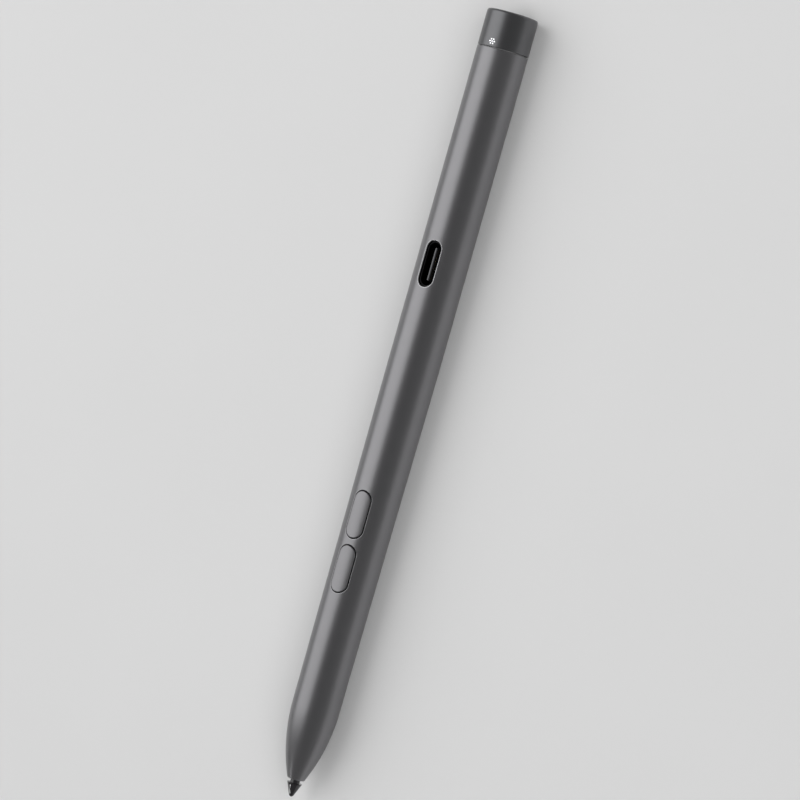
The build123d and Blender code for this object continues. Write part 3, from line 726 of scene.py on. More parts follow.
def wrapped_sheet(
    mesh: PieceMesh,
    rows: Sequence[float],
    turns: Sequence[float],
    holes: Sequence[Sequence[Spot]],
    place: Callable[[float, float], Place],
    normal: Callable[[float, float], Vector] | None = None,
    gap: float = 0.3,
    zone: Zone = Zone.SKIN,
) -> Sheet:
    """Adds a closed tube of skin with holes, triangulated on its flat development.

    Args:
        mesh: The piece.
        rows: Places along the pen, in order.
        turns: Angles round the pen from the middle of its underside, in order, below a full turn.
        holes: Closed loops of (s, angle) spots to leave open.
        place: The point of the skin at (s, angle).
        normal: The direction of the skin there, for exact shading.
        gap: How near to a hole no point of the grid may come.
        zone: The finish slot.

    Returns:
        The first row, the last row and the loops, as point numbers.
    """
    flat_holes = [[(s, turn * UNROLL_RADIUS) for s, turn in loop] for loop in holes]
    columns = [*turns, TURN]
    spots = [spot for loop in holes for spot in loop]
    edges, first = [], 0
    for loop in holes:
        edges += closed_edges(first, len(loop))
        first += len(loop)
    grid: dict[tuple[int, int], int] = {}
    for i, s in enumerate(rows):
        for j, turn in enumerate(columns):
            if not any(near((s, turn * UNROLL_RADIUS), loop, gap) for loop in flat_holes):
                grid[i, j] = len(spots)
                spots.append((s, turn))
    flat = [Vector((s, turn * UNROLL_RADIUS)) for s, turn in spots]
    numbers: dict[int, int] = {}
    for i, (s, turn) in enumerate(spots):
        if turn < TURN:
            numbers[i] = mesh.point(place(s, turn), normal(s, turn) if normal else None)
    for (i, j), spot in grid.items():
        if j == len(turns):
            numbers[spot] = numbers[grid[i, 0]]
    for corners in corners_of(flat, edges, HULL_TRIANGLES):
        middle = tuple(sum((flat[i] for i in corners), Vector((0.0, 0.0))) / len(corners))
        if not any(inside(middle, loop) for loop in flat_holes):
            mesh.face([numbers[i] for i in corners], zone, normal is not None)
    loops, first = [], 0
    for loop in holes:
        loops.append([numbers[first + i] for i in range(len(loop))])
        first += len(loop)
    start = [numbers[grid[0, j]] for j in range(len(turns))]
    end = [numbers[grid[len(rows) - 1, j]] for j in range(len(turns))]
    return Sheet(start, end, loops)


def filled_sheet(
    mesh: PieceMesh,
    loop: Sequence[Spot],
    step: float,
    place: Callable[[float, float], Place],
    normal: Callable[[float, float], Vector] | None = None,
    zone: Zone = Zone.SKIN,
) -> list[int]:
    """Adds a skin that fills a loop.

    Args:
        mesh: The piece.
        loop: The loop's (s, y) spots.
        step: How far apart the points inside it are.
        place: The point of the skin at (s, y).
        normal: The direction of the skin there, for exact shading.
        zone: The finish slot.

    Returns:
        The loop, as point numbers.
    """
    spots = list(loop)
    edges = closed_edges(0, len(loop))
    low = [min(spot[k] for spot in loop) for k in (0, 1)]
    high = [max(spot[k] for spot in loop) for k in (0, 1)]
    for s in spread(low[0], high[0], step):
        for y in spread(low[1], high[1], step):
            close = any(math.dist((s, y), corner) < step / 2 for corner in loop)
            if not close and inside((s, y), loop):
                spots.append((s, y))
    flat = [Vector(spot) for spot in spots]
    numbers = [mesh.point(place(*spot), normal(*spot) if normal else None) for spot in spots]
    for corners in corners_of(flat, edges, INNER_TRIANGLES):
        mesh.face([numbers[i] for i in corners], zone, normal is not None)
    return numbers[: len(loop)]


def lathe(
    mesh: PieceMesh, profile: Sequence[Spot], height: float, count: int, zone: Zone = Zone.SKIN
) -> list[list[int]]:
    """Turns a profile about the pen's axis.

    Args:
        mesh: The piece.
        profile: (s, radius) corners.
        height: The height of the axis.
        count: How many points each ring has.
        zone: The finish slot.

    Returns:
        The rings, as point numbers.
    """
    rings = []
    for s, radius in profile:
        spots = circle((0.0, height), radius, count)
        rings.append(mesh.ring([(s, y, z) for y, z in spots]))
    mesh.bands(rings, zone)
    return rings


@dataclass(frozen=True)
class PenForm:
    """The pen's outer form: round in front with a bowed nose, blending into a D with a flat behind."""

    axis: float = 4.7
    front_radius: float = 4.7
    tail_radius: float = 5.0
    tail_centre: float = 4.4
    blend_start: float = 24.0
    blend_end: float = 85.0
    nose_end: float = 3.6
    nose_start: float = 18.3
    nose_radius: float = 1.72
    edge_ease: float = 0.03

    def corner(self, inset: float = 0.0) -> float:
        """The angle from straight down to the edge of the flat, on a form inset from the skin."""
        return math.acos((self.tail_centre - inset) / (self.tail_radius - inset))

    def nose_drop(self, s: float) -> float:
        """How far the nose lies inside the round barrel's radius.

        Args:
            s: The place along the pen.

        Returns:
            The distance, which is nothing behind the nose.
        """
        run, drop = self.nose_start - self.nose_end, self.front_radius - self.nose_radius
        bow = (run**2 + drop**2) / (2 * drop)
        return bow - math.sqrt(bow**2 - max(0.0, self.nose_start - s) ** 2)

    def section(self, s: float, inset: float = 0.0) -> tuple[float, float, float]:
        """The section at a place along the pen.

        Args:
            s: The place.
            inset: How far inside the skin.

        Returns:
            The radius, the centre's height and the share of flatness.
        """
        flat = min(1.0, max(0.0, (s - self.blend_start) / (self.blend_end - self.blend_start)))
        radius = self.front_radius + flat * (self.tail_radius - self.front_radius)
        centre = self.axis + flat * (self.tail_centre - self.axis)
        return radius - inset - self.nose_drop(s), centre, flat

    def on_flat(self, turn: float) -> bool:
        """Says whether an angle falls on the underside, which flattens towards the tail."""
        return min(turn % TURN, TURN - turn % TURN) < self.corner()

    def place(self, s: float, turn: float, inset: float = 0.0, flat_side: bool | None = None) -> Place:
        """The point of the form at a place along it and an angle round it.

        Args:
            s: The place along the pen.
            turn: The skin's angle from the middle of the underside.
            inset: How far inside the skin.
            flat_side: Which of the two faces to follow, where the angle alone shouldn't say.

        Returns:
            The point.
        """
        radius, centre, flat = self.section(s, inset)
        edge, skin_edge = self.corner(inset), self.corner()
        bent = (turn + math.pi) % TURN - math.pi
        if self.on_flat(turn) if flat_side is None else flat_side:
            share = bent / skin_edge
            front_y = (self.front_radius - inset - self.nose_drop(s)) * math.sin(share * edge)
            front_z = self.axis - (self.front_radius - inset - self.nose_drop(s)) * math.cos(share * edge)
            tail_y = share * (self.tail_radius - inset) * math.sin(edge)
            return (s, front_y + flat * (tail_y - front_y), front_z + flat * (inset - front_z))
        share = (abs(bent) - skin_edge) / (math.pi - skin_edge)
        angle = math.copysign(edge + share * (math.pi - edge), bent)
        return (s, radius * math.sin(angle), centre - radius * math.cos(angle))

    def normal(self, s: float, turn: float) -> Vector:
        """The outward direction of the skin.

        Args:
            s: The place along the pen.
            turn: The skin's angle.

        Returns:
            A vector of length 1.
        """
        side, step = self.on_flat(turn), SMALL_STEP
        along = Vector(self.place(s + step, turn, 0.0, side))
        along -= Vector(self.place(s - step, turn, 0.0, side))
        middle = max(-math.pi + step, min(math.pi - step, (turn + math.pi) % TURN - math.pi))
        round_it = Vector(self.place(s, middle + step / 2, 0.0, side))
        round_it -= Vector(self.place(s, middle - step / 2, 0.0, side))
        return round_it.cross(along).normalized()

    def skin_turn(self, angle: float, inset: float) -> float:
        """The skin's angle at an angle on the arc of a form inset from it."""
        edge, skin_edge = self.corner(inset), self.corner()
        return skin_edge + (angle - edge) / (math.pi - edge) * (math.pi - skin_edge)

    def turn_at(self, s: float, y: float, inset: float) -> float:
        """The skin's angle at a distance across, on the upper half."""
        turn = self.skin_turn(math.pi - math.asin(abs(y) / self.section(s, inset)[0]), inset)
        return turn if y >= 0 else TURN - turn

    def turn_beside(self, z: float, inset: float) -> float:
        """The skin's angle at a height on the +Y side of the tail."""
        return self.skin_turn(math.acos((self.tail_centre - z) / (self.tail_radius - inset)), inset)

    def turns(self, flat_count: int = 12, arc_count: int = 84) -> list[float]:
        """Angles round the pen, with a narrow strip across each edge of the flat.

        Args:
            flat_count: Steps across the underside.
            arc_count: Steps over the rest.

        Returns:
            The angles, in order, from 0 to below a full turn.
        """
        edge, ease = self.corner(), self.edge_ease
        half = spread(0.0, edge - ease, 2 * (edge - ease) / flat_count)
        over = spread(edge + ease, TURN - edge - ease, (TURN - 2 * (edge + ease)) / arc_count)
        return [*half, *over, *[TURN - turn for turn in reversed(half[1:])]]


FORM = PenForm()


def turned_ring(mesh: PieceMesh, s: float, radius: float, turns: Sequence[float]) -> list[int]:
    """Adds a ring about the pen's axis, with its points at angles from straight down."""
    spots = [(radius * math.sin(turn), FORM.axis - radius * math.cos(turn)) for turn in turns]
    return mesh.ring([(s, y, z) for y, z in spots])


@dataclass(frozen=True)
class Opening:
    """A pill-shaped opening in the top of the barrel, with an eased or cut rim."""

    middle: float
    length: float
    width: float
    rim: float
    steps: int

    def loop(self, grow: float) -> list[Spot]:
        """The opening's outline from above, grown by a rim."""
        return pill(self.middle, self.length + 2 * grow, self.width + 2 * grow)

    def skin_loop(self, grow: float, inset: float) -> list[Spot]:
        """The outline as (s, angle) on a form inset from the skin."""
        return [(s, FORM.turn_at(s, y, inset)) for s, y in self.loop(grow)]

    def rim_rings(self, mesh: PieceMesh) -> list[list[int]]:
        """Adds the rings of the rim below the skin.

        Args:
            mesh: The barrel.

        Returns:
            The rings, the lowest last.
        """
        rings = []
        for i in range(1, self.steps + 1):
            bend = math.pi / 2 * i / self.steps
            grow, depth = self.rim * (1 - math.sin(bend)), self.rim * (1 - math.cos(bend))
            places = [FORM.place(s, turn) for s, turn in self.skin_loop(grow, 0.0)]
            rings.append(mesh.ring([(s, y, z - depth) for s, y, z in places]))
        return rings


@dataclass
class Barrel:
    """The one-piece barrel: nose, two button windows, the port slot and the sound hole."""

    end: float = 148.5
    wall: float = 0.7
    end_chamfer: float = 0.06
    lip: float = 3.72
    lip_profile: tuple[Spot, ...] = ((3.655, 1.718), (3.615, 1.678), (3.6, 1.625), (3.6, 1.3), (3.65, 1.25))
    bore_profile: tuple[Spot, ...] = ((6.4, 1.25), (6.4, 1.9), (11.4, 1.9), (11.4, 3.0), (19.0, 3.0))
    bore_start: float = 19.0
    sound_radius: float = 0.75
    sound_ease: float = 0.06
    sound_steps: int = 40
    openings: tuple[Opening, ...] = (
        Opening(LOWER_BUTTON_MIDDLE, length=9.6, width=3.9, rim=0.06, steps=2),
        Opening(UPPER_BUTTON_MIDDLE, length=9.6, width=3.9, rim=0.06, steps=2),
        Opening(PORT_MIDDLE, length=8.98, width=3.2, rim=0.2, steps=4),
    )
    nose_step: float = 0.5
    front_step: float = 0.8
    blend_step: float = 1.0
    tail_step: float = 1.3
    lining_step: float = 3.0
    lining_gap: float = 0.2

    def rows(self) -> list[float]:
        """Places along the skin, closer on the nose.

        Returns:
            The places, in order.
        """
        rows = spread(self.lip, FORM.nose_start, self.nose_step)
        rows += spread(FORM.nose_start, FORM.blend_start, self.front_step)[1:]
        rows += spread(FORM.blend_start, FORM.blend_end, self.blend_step)[1:]
        return rows + spread(FORM.blend_end, self.end - self.end_chamfer, self.tail_step)[1:]

    def sound_spots(self, radius: float) -> list[Spot]:
        """The sound hole's outline from beside, as (s, z)."""
        return circle((SOUND_MIDDLE, FORM.tail_centre), radius, self.sound_steps)

    def sound_loop(self, radius: float, inset: float) -> list[Spot]:
        """The sound hole's outline as (s, angle) on a form inset from the skin."""
        return [(s, FORM.turn_beside(z, inset)) for s, z in self.sound_spots(radius)]

    def build(self) -> bpy.types.Object:
        """Builds the barrel as one closed shell.

        Returns:
            The barrel.
        """
        mesh, turns = PieceMesh(), FORM.turns()
        holes = [opening.skin_loop(opening.rim, 0.0) for opening in self.openings]
        holes.append(self.sound_loop(self.sound_radius + self.sound_ease, 0.0))
        skin = wrapped_sheet(mesh, self.rows(), turns, holes, FORM.place, FORM.normal)
        inner_holes = [opening.skin_loop(0.0, self.wall) for opening in self.openings]
        inner_holes.append(self.sound_loop(self.sound_radius, self.wall))

        def lining(s: float, turn: float) -> Place:
            """The inner skin."""
            return FORM.place(s, turn, self.wall)

        inner_rows = spread(self.bore_start, self.end, self.lining_step)
        inner = wrapped_sheet(
            mesh, inner_rows, turns, inner_holes, lining, None, self.lining_gap, Zone.INSIDE
        )
        for opening, outer_loop, inner_loop in zip(self.openings, skin.loops, inner.loops):
            rings = opening.rim_rings(mesh)
            mesh.bands([outer_loop, *rings], Zone.RIM)
            mesh.band(rings[-1], inner_loop, Zone.INSIDE)
        side_spots = self.sound_spots(self.sound_radius)
        reach = [math.sqrt(FORM.tail_radius**2 - (z - FORM.tail_centre) ** 2) for _, z in side_spots]
        eased = mesh.ring([(s, y - self.sound_ease, z) for (s, z), y in zip(side_spots, reach)])
        mesh.band(skin.loops[-1], eased, Zone.RIM)
        mesh.band(eased, inner.loops[-1], Zone.INSIDE)
        self._close_nose(mesh, turns, skin.start, inner.start)
        tail = mesh.ring([FORM.place(self.end, turn, self.end_chamfer) for turn in turns])
        mesh.band(skin.end, tail, Zone.RIM)
        mesh.band(tail, inner.end, Zone.RIM)
        # The lining, the openings' walls and the bore take the near-black painted shade.
        return mesh.piece("barrel_skin", [ANODISED, CUT_RIM, INNER_WALL_SHADE])

    def _close_nose(
        self, mesh: PieceMesh, turns: Sequence[float], skin: list[int], inner: list[int]
    ) -> None:
        """Adds the rounded lip and the stepped bore between the skin and the lining.

        Args:
            mesh: The barrel.
            turns: The angles of its rows.
            skin: The first row of the skin.
            inner: The first row of the lining.
        """
        lip, bore = (
            [turned_ring(mesh, s, radius, turns) for s, radius in profile]
            for profile in (self.lip_profile, self.bore_profile)
        )
        mesh.bands([skin, *lip], Zone.SKIN)
        mesh.bands([lip[-1], *bore, inner], Zone.INSIDE)


@dataclass
class BarrelButton:
    """A pill-shaped barrel button with a crowned face, a soft edge and a flange inside the wall."""

    name: str
    node: str
    body: Body
    middle: float
    length: float = 9.2
    width: float = 3.5
    crown: float = 5.05
    crown_centre: float = 4.55
    edge: float = 0.15
    edge_steps: int = 4
    flange_length: float = 10.4
    flange_width: float = 4.7
    flange_crown: float = 3.94
    flange_bottom: float = 7.5
    grid: float = 0.3
    flange_grid: float = 0.8

    def top(self, y: float) -> float:
        """The height of the button's face."""
        return self.crown_centre + math.sqrt(self.crown**2 - y**2)

    def flange_top(self, y: float) -> float:
        """The height of the flange under the wall."""
        return FORM.axis + math.sqrt(self.flange_crown**2 - y**2)

    def build(self) -> bpy.types.Object:
        """Builds the button as one closed shell.

        Returns:
            The button.
        """
        mesh = PieceMesh()

        def outline(grow: float) -> list[Spot]:
            """The button's outline grown by a distance."""
            return pill(self.middle, self.length + 2 * grow, self.width + 2 * grow)

        def facing(_: float, y: float) -> Vector:
            """The direction of the crowned face."""
            return Vector((0.0, y, self.top(y) - self.crown_centre)).normalized()

        rim = filled_sheet(mesh, outline(-self.edge), self.grid, lambda s, y: (s, y, self.top(y)), facing)
        rings = [rim]
        for i in range(1, self.edge_steps + 1):
            bend = math.pi / 2 * i / self.edge_steps
            inset, depth = self.edge * (1 - math.sin(bend)), self.edge * (1 - math.cos(bend))
            rings.append(mesh.ring([(s, y, self.top(y) - depth) for s, y in outline(-inset)]))
        mesh.bands(rings, Zone.SKIN)
        flange = pill(self.middle, self.flange_length, self.flange_width)
        neck = mesh.ring([(s, y, self.flange_top(y)) for s, y in outline(0.0)])
        brim = mesh.ring([(s, y, self.flange_top(y)) for s, y in flange])
        base = filled_sheet(
            mesh, flange, self.flange_grid, lambda s, y: (s, y, self.flange_bottom), None, Zone.RIM
        )
        # The button's sunken sides and flange take the near-black painted shade.
        mesh.bands([rings[-1], neck, brim, base], Zone.RIM)
        return mesh.piece(self.name, [ANODISED, INNER_WALL_SHADE])


@dataclass
class TailButton:
    """The domed tail button with its skirt, its post on the switch and seven holes for the light."""

    start: float = 148.7
    end: float = 156.0
    chamfer: float = 0.06
    fillet: float = 0.5
    fillet_steps: int = 8
    long_fillet: float = 0.6
    least_fillet: float = 0.02
    dome: float = 60.0
    dome_shares: tuple[float, ...] = (0.8, 0.6, 0.4, 0.2, 0.05)
    steady_end: float = 152.0
    side_end: float = 155.3
    skirt_start: float = 143.5
    skirt_inset: float = 0.76
    cavity_inset: float = 1.31
    cavity_end: float = 154.6
    post_radius: float = 1.1
    post_start: float = 150.3
    dots_middle: float = 149.67
    dot_ring: float = 0.475
    dot_turn: float = 30.0
    hole_radius: float = 0.15
    dot_count: int = 6
    hole_steps: int = 20
    hole_gap: float = 0.08
    hook_start: float = 145.55
    hook_end: float = 146.95
    hook_half: float = 0.95
    hook_steps: Spot = (0.35, 0.38)
    hook_gap: float = 0.12
    flat_steps: int = 12
    bend_steps: int = 8
    arc_steps: int = 72
    side_step: float = 0.35
    skirt_step: float = 0.6
    cavity_gap: float = 0.06

    def corner(self, inset: float = 0.0) -> tuple[float, float, float]:
        """The bend between the flat and the arc.

        Args:
            inset: How far inside the skin.

        Returns:
            Its radius, its centre's distance across and the angle at which it meets the arc.
        """
        soft = max(self.least_fillet, self.long_fillet - inset)
        rise = FORM.tail_centre - inset - soft
        across = math.sqrt((FORM.tail_radius - inset - soft) ** 2 - rise**2)
        return soft, across, math.atan2(across, rise)

    def outline(self, turn: float, inset: float = 0.0) -> tuple[float, float]:
        """A point of the rounded D.

        Args:
            turn: The angle that names the point: flat, bend and arc each have their own stretch.
            inset: How far inside the skin.

        Returns:
            The point's y and z.
        """
        bent = (turn + math.pi) % TURN - math.pi
        side, size = math.copysign(1.0, bent), abs(bent)
        radius = FORM.tail_radius - inset
        soft, bend_y, bend_turn = self.corner(inset)
        flat_span, bend_span = self.spans()
        if size <= flat_span:
            return (side * bend_y * size / flat_span, inset)
        if size <= flat_span + bend_span:
            angle = bend_turn * (size - flat_span) / bend_span
            return (side * (bend_y + soft * math.sin(angle)), inset + soft - soft * math.cos(angle))
        share = (size - flat_span - bend_span) / (math.pi - flat_span - bend_span)
        angle = bend_turn + share * (math.pi - bend_turn)
        return (side * radius * math.sin(angle), FORM.tail_centre - radius * math.cos(angle))

    def spans(self) -> tuple[float, float]:
        """The angles given to half the flat and to one bend, in step with their lengths.

        Returns:
            The two angles.
        """
        soft, bend_y, bend_turn = self.corner()
        lengths = (bend_y, soft * bend_turn, FORM.tail_radius * (math.pi - bend_turn))
        return math.pi * lengths[0] / sum(lengths), math.pi * lengths[1] / sum(lengths)

    def turns(self) -> list[float]:
        """Angles round the button, closer on the bends.

        Returns:
            The angles, in order, from 0 to below a full turn.
        """
        flat_span, bend_span = self.spans()
        half = spread(0.0, flat_span, 2 * flat_span / self.flat_steps)
        bend = spread(flat_span, flat_span + bend_span, bend_span / self.bend_steps)[1:]
        first = flat_span + bend_span
        over = spread(first, TURN - first, 2 * (math.pi - first) / self.arc_steps)[1:-1]
        back = [TURN - turn for turn in reversed(half[1:] + bend)]
        return [*half, *bend, *over, *back]

    def turn_on_arc(self, angle: float, inset: float) -> float:
        """The angle that names a point of the arc, from its angle about the arc's centre."""
        first, bend_turn = sum(self.spans()), self.corner(inset)[2]
        return first + (angle - bend_turn) / (math.pi - bend_turn) * (math.pi - first)

    def turn_at(self, y: float, inset: float) -> float:
        """The angle that names a point of the arc at a distance across, near the top."""
        turn = self.turn_on_arc(math.pi - math.asin(abs(y) / (FORM.tail_radius - inset)), inset)
        return turn if y >= 0 else TURN - turn

    def turn_beside(self, z: float, inset: float, side: int) -> float:
        """The angle that names a point of the arc at a height, on one side."""
        turn = self.turn_on_arc(math.acos((FORM.tail_centre - z) / (FORM.tail_radius - inset)), inset)
        return turn if side > 0 else TURN - turn

    def dome_place(self, y: float, z: float) -> float:
        """How far along the pen the domed end lies."""
        return self.end - self.dome + math.sqrt(self.dome**2 - y**2 - (z - FORM.axis) ** 2)

    def side_place(self, s: float, turn: float) -> Place:
        """The point of the side skin, drawn out to meet the fillet of the end.

        Args:
            s: The place along the pen, before it is drawn out.
            turn: The angle that names the point.

        Returns:
            The point.
        """
        y, z = self.outline(turn)
        last = self.dome_place(y, z) - self.fillet
        share = max(0.0, (s - self.steady_end) / (self.side_end - self.steady_end))
        return (s + share * (last - self.side_end), y, z)

    def side_normal(self, _: float, turn: float) -> Vector:
        """The direction of the side skin."""
        before, after = self.outline(turn - SMALL_STEP), self.outline(turn + SMALL_STEP)
        return Vector((0.0, after[1] - before[1], before[0] - after[0])).normalized()

    def dots(self) -> list[Spot]:
        """The middles of the seven lights: one, and six round it."""
        middle = (self.dots_middle, 0.0)
        return [middle, *circle(middle, self.dot_ring, self.dot_count, math.radians(self.dot_turn))]

    def light_holes(self, inset: float) -> list[list[Spot]]:
        """The outlines of the light's holes as (s, angle) on a form inset from the skin."""
        loops = [circle(dot, self.hole_radius, self.hole_steps) for dot in self.dots()]
        return [[(s, self.turn_at(y, inset)) for s, y in loop] for loop in loops]

    def hook_windows(self, inset: float) -> list[list[Spot]]:
        """The outlines of the two hook windows as (s, angle) on a form inset from the skin.

        Args:
            inset: How far inside the skin.

        Returns:
            A loop for each side.
        """
        low, high = FORM.tail_centre - self.hook_half, FORM.tail_centre + self.hook_half
        along = spread(self.hook_start, self.hook_end, self.hook_steps[0])
        up = spread(low, high, self.hook_steps[1])
        loop = [(s, low) for s in along] + [(self.hook_end, z) for z in up[1:]]
        loop += [(s, high) for s in reversed(along[:-1])]
        loop += [(self.hook_start, z) for z in reversed(up[1:-1])]
        return [[(s, self.turn_beside(z, inset, side)) for s, z in loop] for side in (1, -1)]

    def build(self) -> bpy.types.Object:
        """Builds the button as one closed shell.

        Returns:
            The button.
        """
        mesh, turns = PieceMesh(), self.turns()

        def inset_place(inset: float) -> Callable[[float, float], Place]:
            """The skin of a form inset from the button's side."""
            return lambda s, turn: (s, *self.outline(turn, inset))

        def row(s: float, inset: float) -> list[int]:
            """One ring of a form inset from the button's side."""
            return mesh.ring([(s, *self.outline(turn, inset)) for turn in turns])

        rows = spread(self.start + self.chamfer, self.side_end, self.side_step)
        side = wrapped_sheet(
            mesh, rows, turns, self.light_holes(0.0), self.side_place, self.side_normal, self.hole_gap
        )
        self._close_end(mesh, turns, side.end)
        # The skirt shows in the seam; its pale tone is painted light that lifts the seam's shade.
        skirt_rows = spread(self.skirt_start, self.start, self.skirt_step)
        skirt_holes, on_skirt = self.hook_windows(self.skirt_inset), inset_place(self.skirt_inset)
        skirt = wrapped_sheet(
            mesh, skirt_rows, turns, skirt_holes, on_skirt, None, self.hook_gap, Zone.INSIDE
        )
        mesh.bands([side.start, row(self.start, self.chamfer), skirt.end], Zone.RIM)
        cavity_rows = spread(self.skirt_start, self.cavity_end, self.skirt_step)
        cavity_holes = self.light_holes(self.cavity_inset) + self.hook_windows(self.cavity_inset)
        in_cavity = inset_place(self.cavity_inset)
        cavity = wrapped_sheet(
            mesh, cavity_rows, turns, cavity_holes, in_cavity, None, self.cavity_gap, Zone.INSIDE
        )
        mesh.band(skirt.start, cavity.start, Zone.INSIDE)
        for outer_loop, inner_loop in zip(side.loops + skirt.loops, cavity.loops):
            mesh.band(outer_loop, inner_loop, Zone.INSIDE)
        ends = (self.cavity_end, self.post_start)
        post = [turned_ring(mesh, s, self.post_radius, turns) for s in ends]
        mesh.bands([cavity.end, *post], Zone.INSIDE)
        mesh.cap(post[-1], Zone.INSIDE)
        return mesh.piece("tail_button_shell", [TAIL_SHELL, TAIL_RIM, PALE_POLYMER_SEAM_LIGHT])

    def _close_end(self, mesh: PieceMesh, turns: Sequence[float], side: list[int]) -> None:
        """Adds the rounded edge and the domed end.

        Args:
            mesh: The button.
            turns: The angles of its rows.
            side: The last row of the side skin.
        """
        rings = [side]
        for i in range(1, self.fillet_steps + 1):
            bend = math.pi / 2 * i / self.fillet_steps
            spots = [self.outline(turn, self.fillet * (1 - math.cos(bend))) for turn in turns]
            back = self.fillet * (1 - math.sin(bend))
            rings.append(mesh.ring([(self.dome_place(y, z) - back, y, z) for y, z in spots]))
        rim = [self.outline(turn, self.fillet) for turn in turns]
        for share in self.dome_shares:
            spots = [(y * share, FORM.axis + (z - FORM.axis) * share) for y, z in rim]
            rings.append(mesh.ring([(self.dome_place(y, z), y, z) for y, z in spots]))
        mesh.bands(rings, Zone.SKIN)
        mesh.cap(rings[-1], Zone.SKIN)


@dataclass
class Nib:
    """The replaceable nib: a blunt cone on a neck and a shaft."""

    tip: float = 0.5
    cone_length: float = 2.8
    cone_radius: float = 1.5
    edge: float = 0.06
    edge_steps: int = 5
    neck_radius: float = 0.95
    neck_end: float = 8.5
    shaft_radius: float = 0.7
    shaft_end: float = 16.5
    tip_steps: int = 8
    count: int = 64
    cone_step: float = 0.3
    neck_fillet: float = 0.3
    run_in: float = 0.4
    neck_step: float = 1.0
    shaft_step: float = 1.5
    shaft_chamfer: float = 0.2
    crease: float = 35.0

    def profile(self) -> list[Spot]:
        """The nib's outline from the tip back, without the point on the axis.

        Returns:
            (s, radius) corners.
        """
        reach = self.cone_length - self.tip
        far = math.hypot(reach, self.cone_radius)
        touch = math.atan2(self.cone_radius, reach) + math.acos(self.tip / far)
        outline = []
        for i in range(1, self.tip_steps + 1):
            bend = math.pi + (touch - math.pi) * i / self.tip_steps
            outline.append((self.tip * (1 + math.cos(bend)), self.tip * math.sin(bend)))
        s0, r0 = outline[-1]
        slope = (self.cone_radius - r0) / (self.cone_length - s0)
        lean = math.atan(slope)
        cut = self.edge / math.tan((math.pi / 2 - lean) / 2)
        middle = (self.cone_length - self.edge, self.cone_radius - cut)
        last = middle[0] - self.edge * math.sin(lean)
        outline += [(s, r0 + slope * (s - s0)) for s in spread(s0, last, self.cone_step)[1:-1]]
        for i in range(self.edge_steps + 1):
            bend = (math.pi / 2 + lean) * (1 - i / self.edge_steps)
            outline.append((middle[0] + self.edge * math.cos(bend), middle[1] + self.edge * math.sin(bend)))
        hollow = self.neck_fillet * self.edge
        outline += [
            (self.cone_length, self.neck_radius + self.edge),
            (self.cone_length + hollow, self.neck_radius + hollow),
            (self.cone_length + self.edge, self.neck_radius),
        ]
        neck = spread(self.cone_length + self.run_in, self.neck_end - self.edge, self.neck_step)
        outline += [(s, self.neck_radius) for s in neck]
        outline += [(self.neck_end, self.neck_radius - self.edge), (self.neck_end, self.shaft_radius)]
        shaft = spread(self.neck_end + self.run_in, self.shaft_end - self.shaft_chamfer, self.shaft_step)
        outline += [(s, self.shaft_radius) for s in shaft]
        return outline + [(self.shaft_end, self.shaft_radius - self.shaft_chamfer)]

    def build(self) -> bpy.types.Object:
        """Builds the nib as one closed turned shell.

        Returns:
            The nib.
        """
        mesh = PieceMesh()
        rings = lathe(mesh, self.profile(), FORM.axis, self.count)
        mesh.fan(rings[0], (0.0, 0.0, FORM.axis), Zone.SKIN)
        mesh.cap(rings[-1], Zone.SKIN)
        return mesh.piece("nib_tip", [NIB_POLYMER], self.crease)


@dataclass
class NoseBush:
    """The bush that guides the nib's neck in the mouth of the barrel."""

    profile: tuple[Spot, ...] = (
        (3.75, 1.1),
        (3.75, 1.17),
        (3.81, 1.23),
        (6.4, 1.23),
        (6.4, 1.88),
        (7.2, 1.88),
        (7.2, 1.1),
        (7.15, 1.05),
        (3.8, 1.05),
    )
    count: int = 64
    crease: float = 35.0

    def build(self) -> bpy.types.Object:
        """Builds the bush as a closed turned ring.

        Returns:
            The bush.
        """
        mesh = PieceMesh()
        rings = lathe(mesh, self.profile, FORM.axis, self.count)
        mesh.band(rings[-1], rings[0], Zone.SKIN)
        return mesh.piece("nose_bush_ring", [NIB_POLYMER], self.crease)


@dataclass
class PortShell:
    """The drawn shell of the charging port, with a rolled mouth."""

    outer: Spot = (8.78, 3.0)
    opening: Spot = (8.34, 2.56)
    mouth: float = 8.7
    foot: float = 2.45
    roll: float = 0.11
    roll_steps: int = 6
    crease: float = 40.0

    def build(self) -> bpy.types.Object:
        """Builds the shell as a closed ring.

        Returns:
            The shell.
        """
        mesh = PieceMesh()

        def row(grow: float, z: float) -> list[int]:
            """A ring of the shell, grown from the middle of its wall."""
            length, width = ((a + b) / 2 + 2 * grow for a, b in zip(self.outer, self.opening))
            return mesh.ring([(s, y, z) for s, y in pill(PORT_MIDDLE, length, width)])

        rings = [row(self.roll, self.foot)]
        for i in range(self.roll_steps + 1):
            bend = math.pi * i / self.roll_steps
            rings.append(row(self.roll * math.cos(bend), self.mouth - self.roll * (1 - math.sin(bend))))
        rings.append(row(-self.roll, self.foot))
        mesh.bands([*rings, rings[0]], Zone.SKIN)
        return mesh.piece("port_shell", [PORT_SHELL], self.crease)


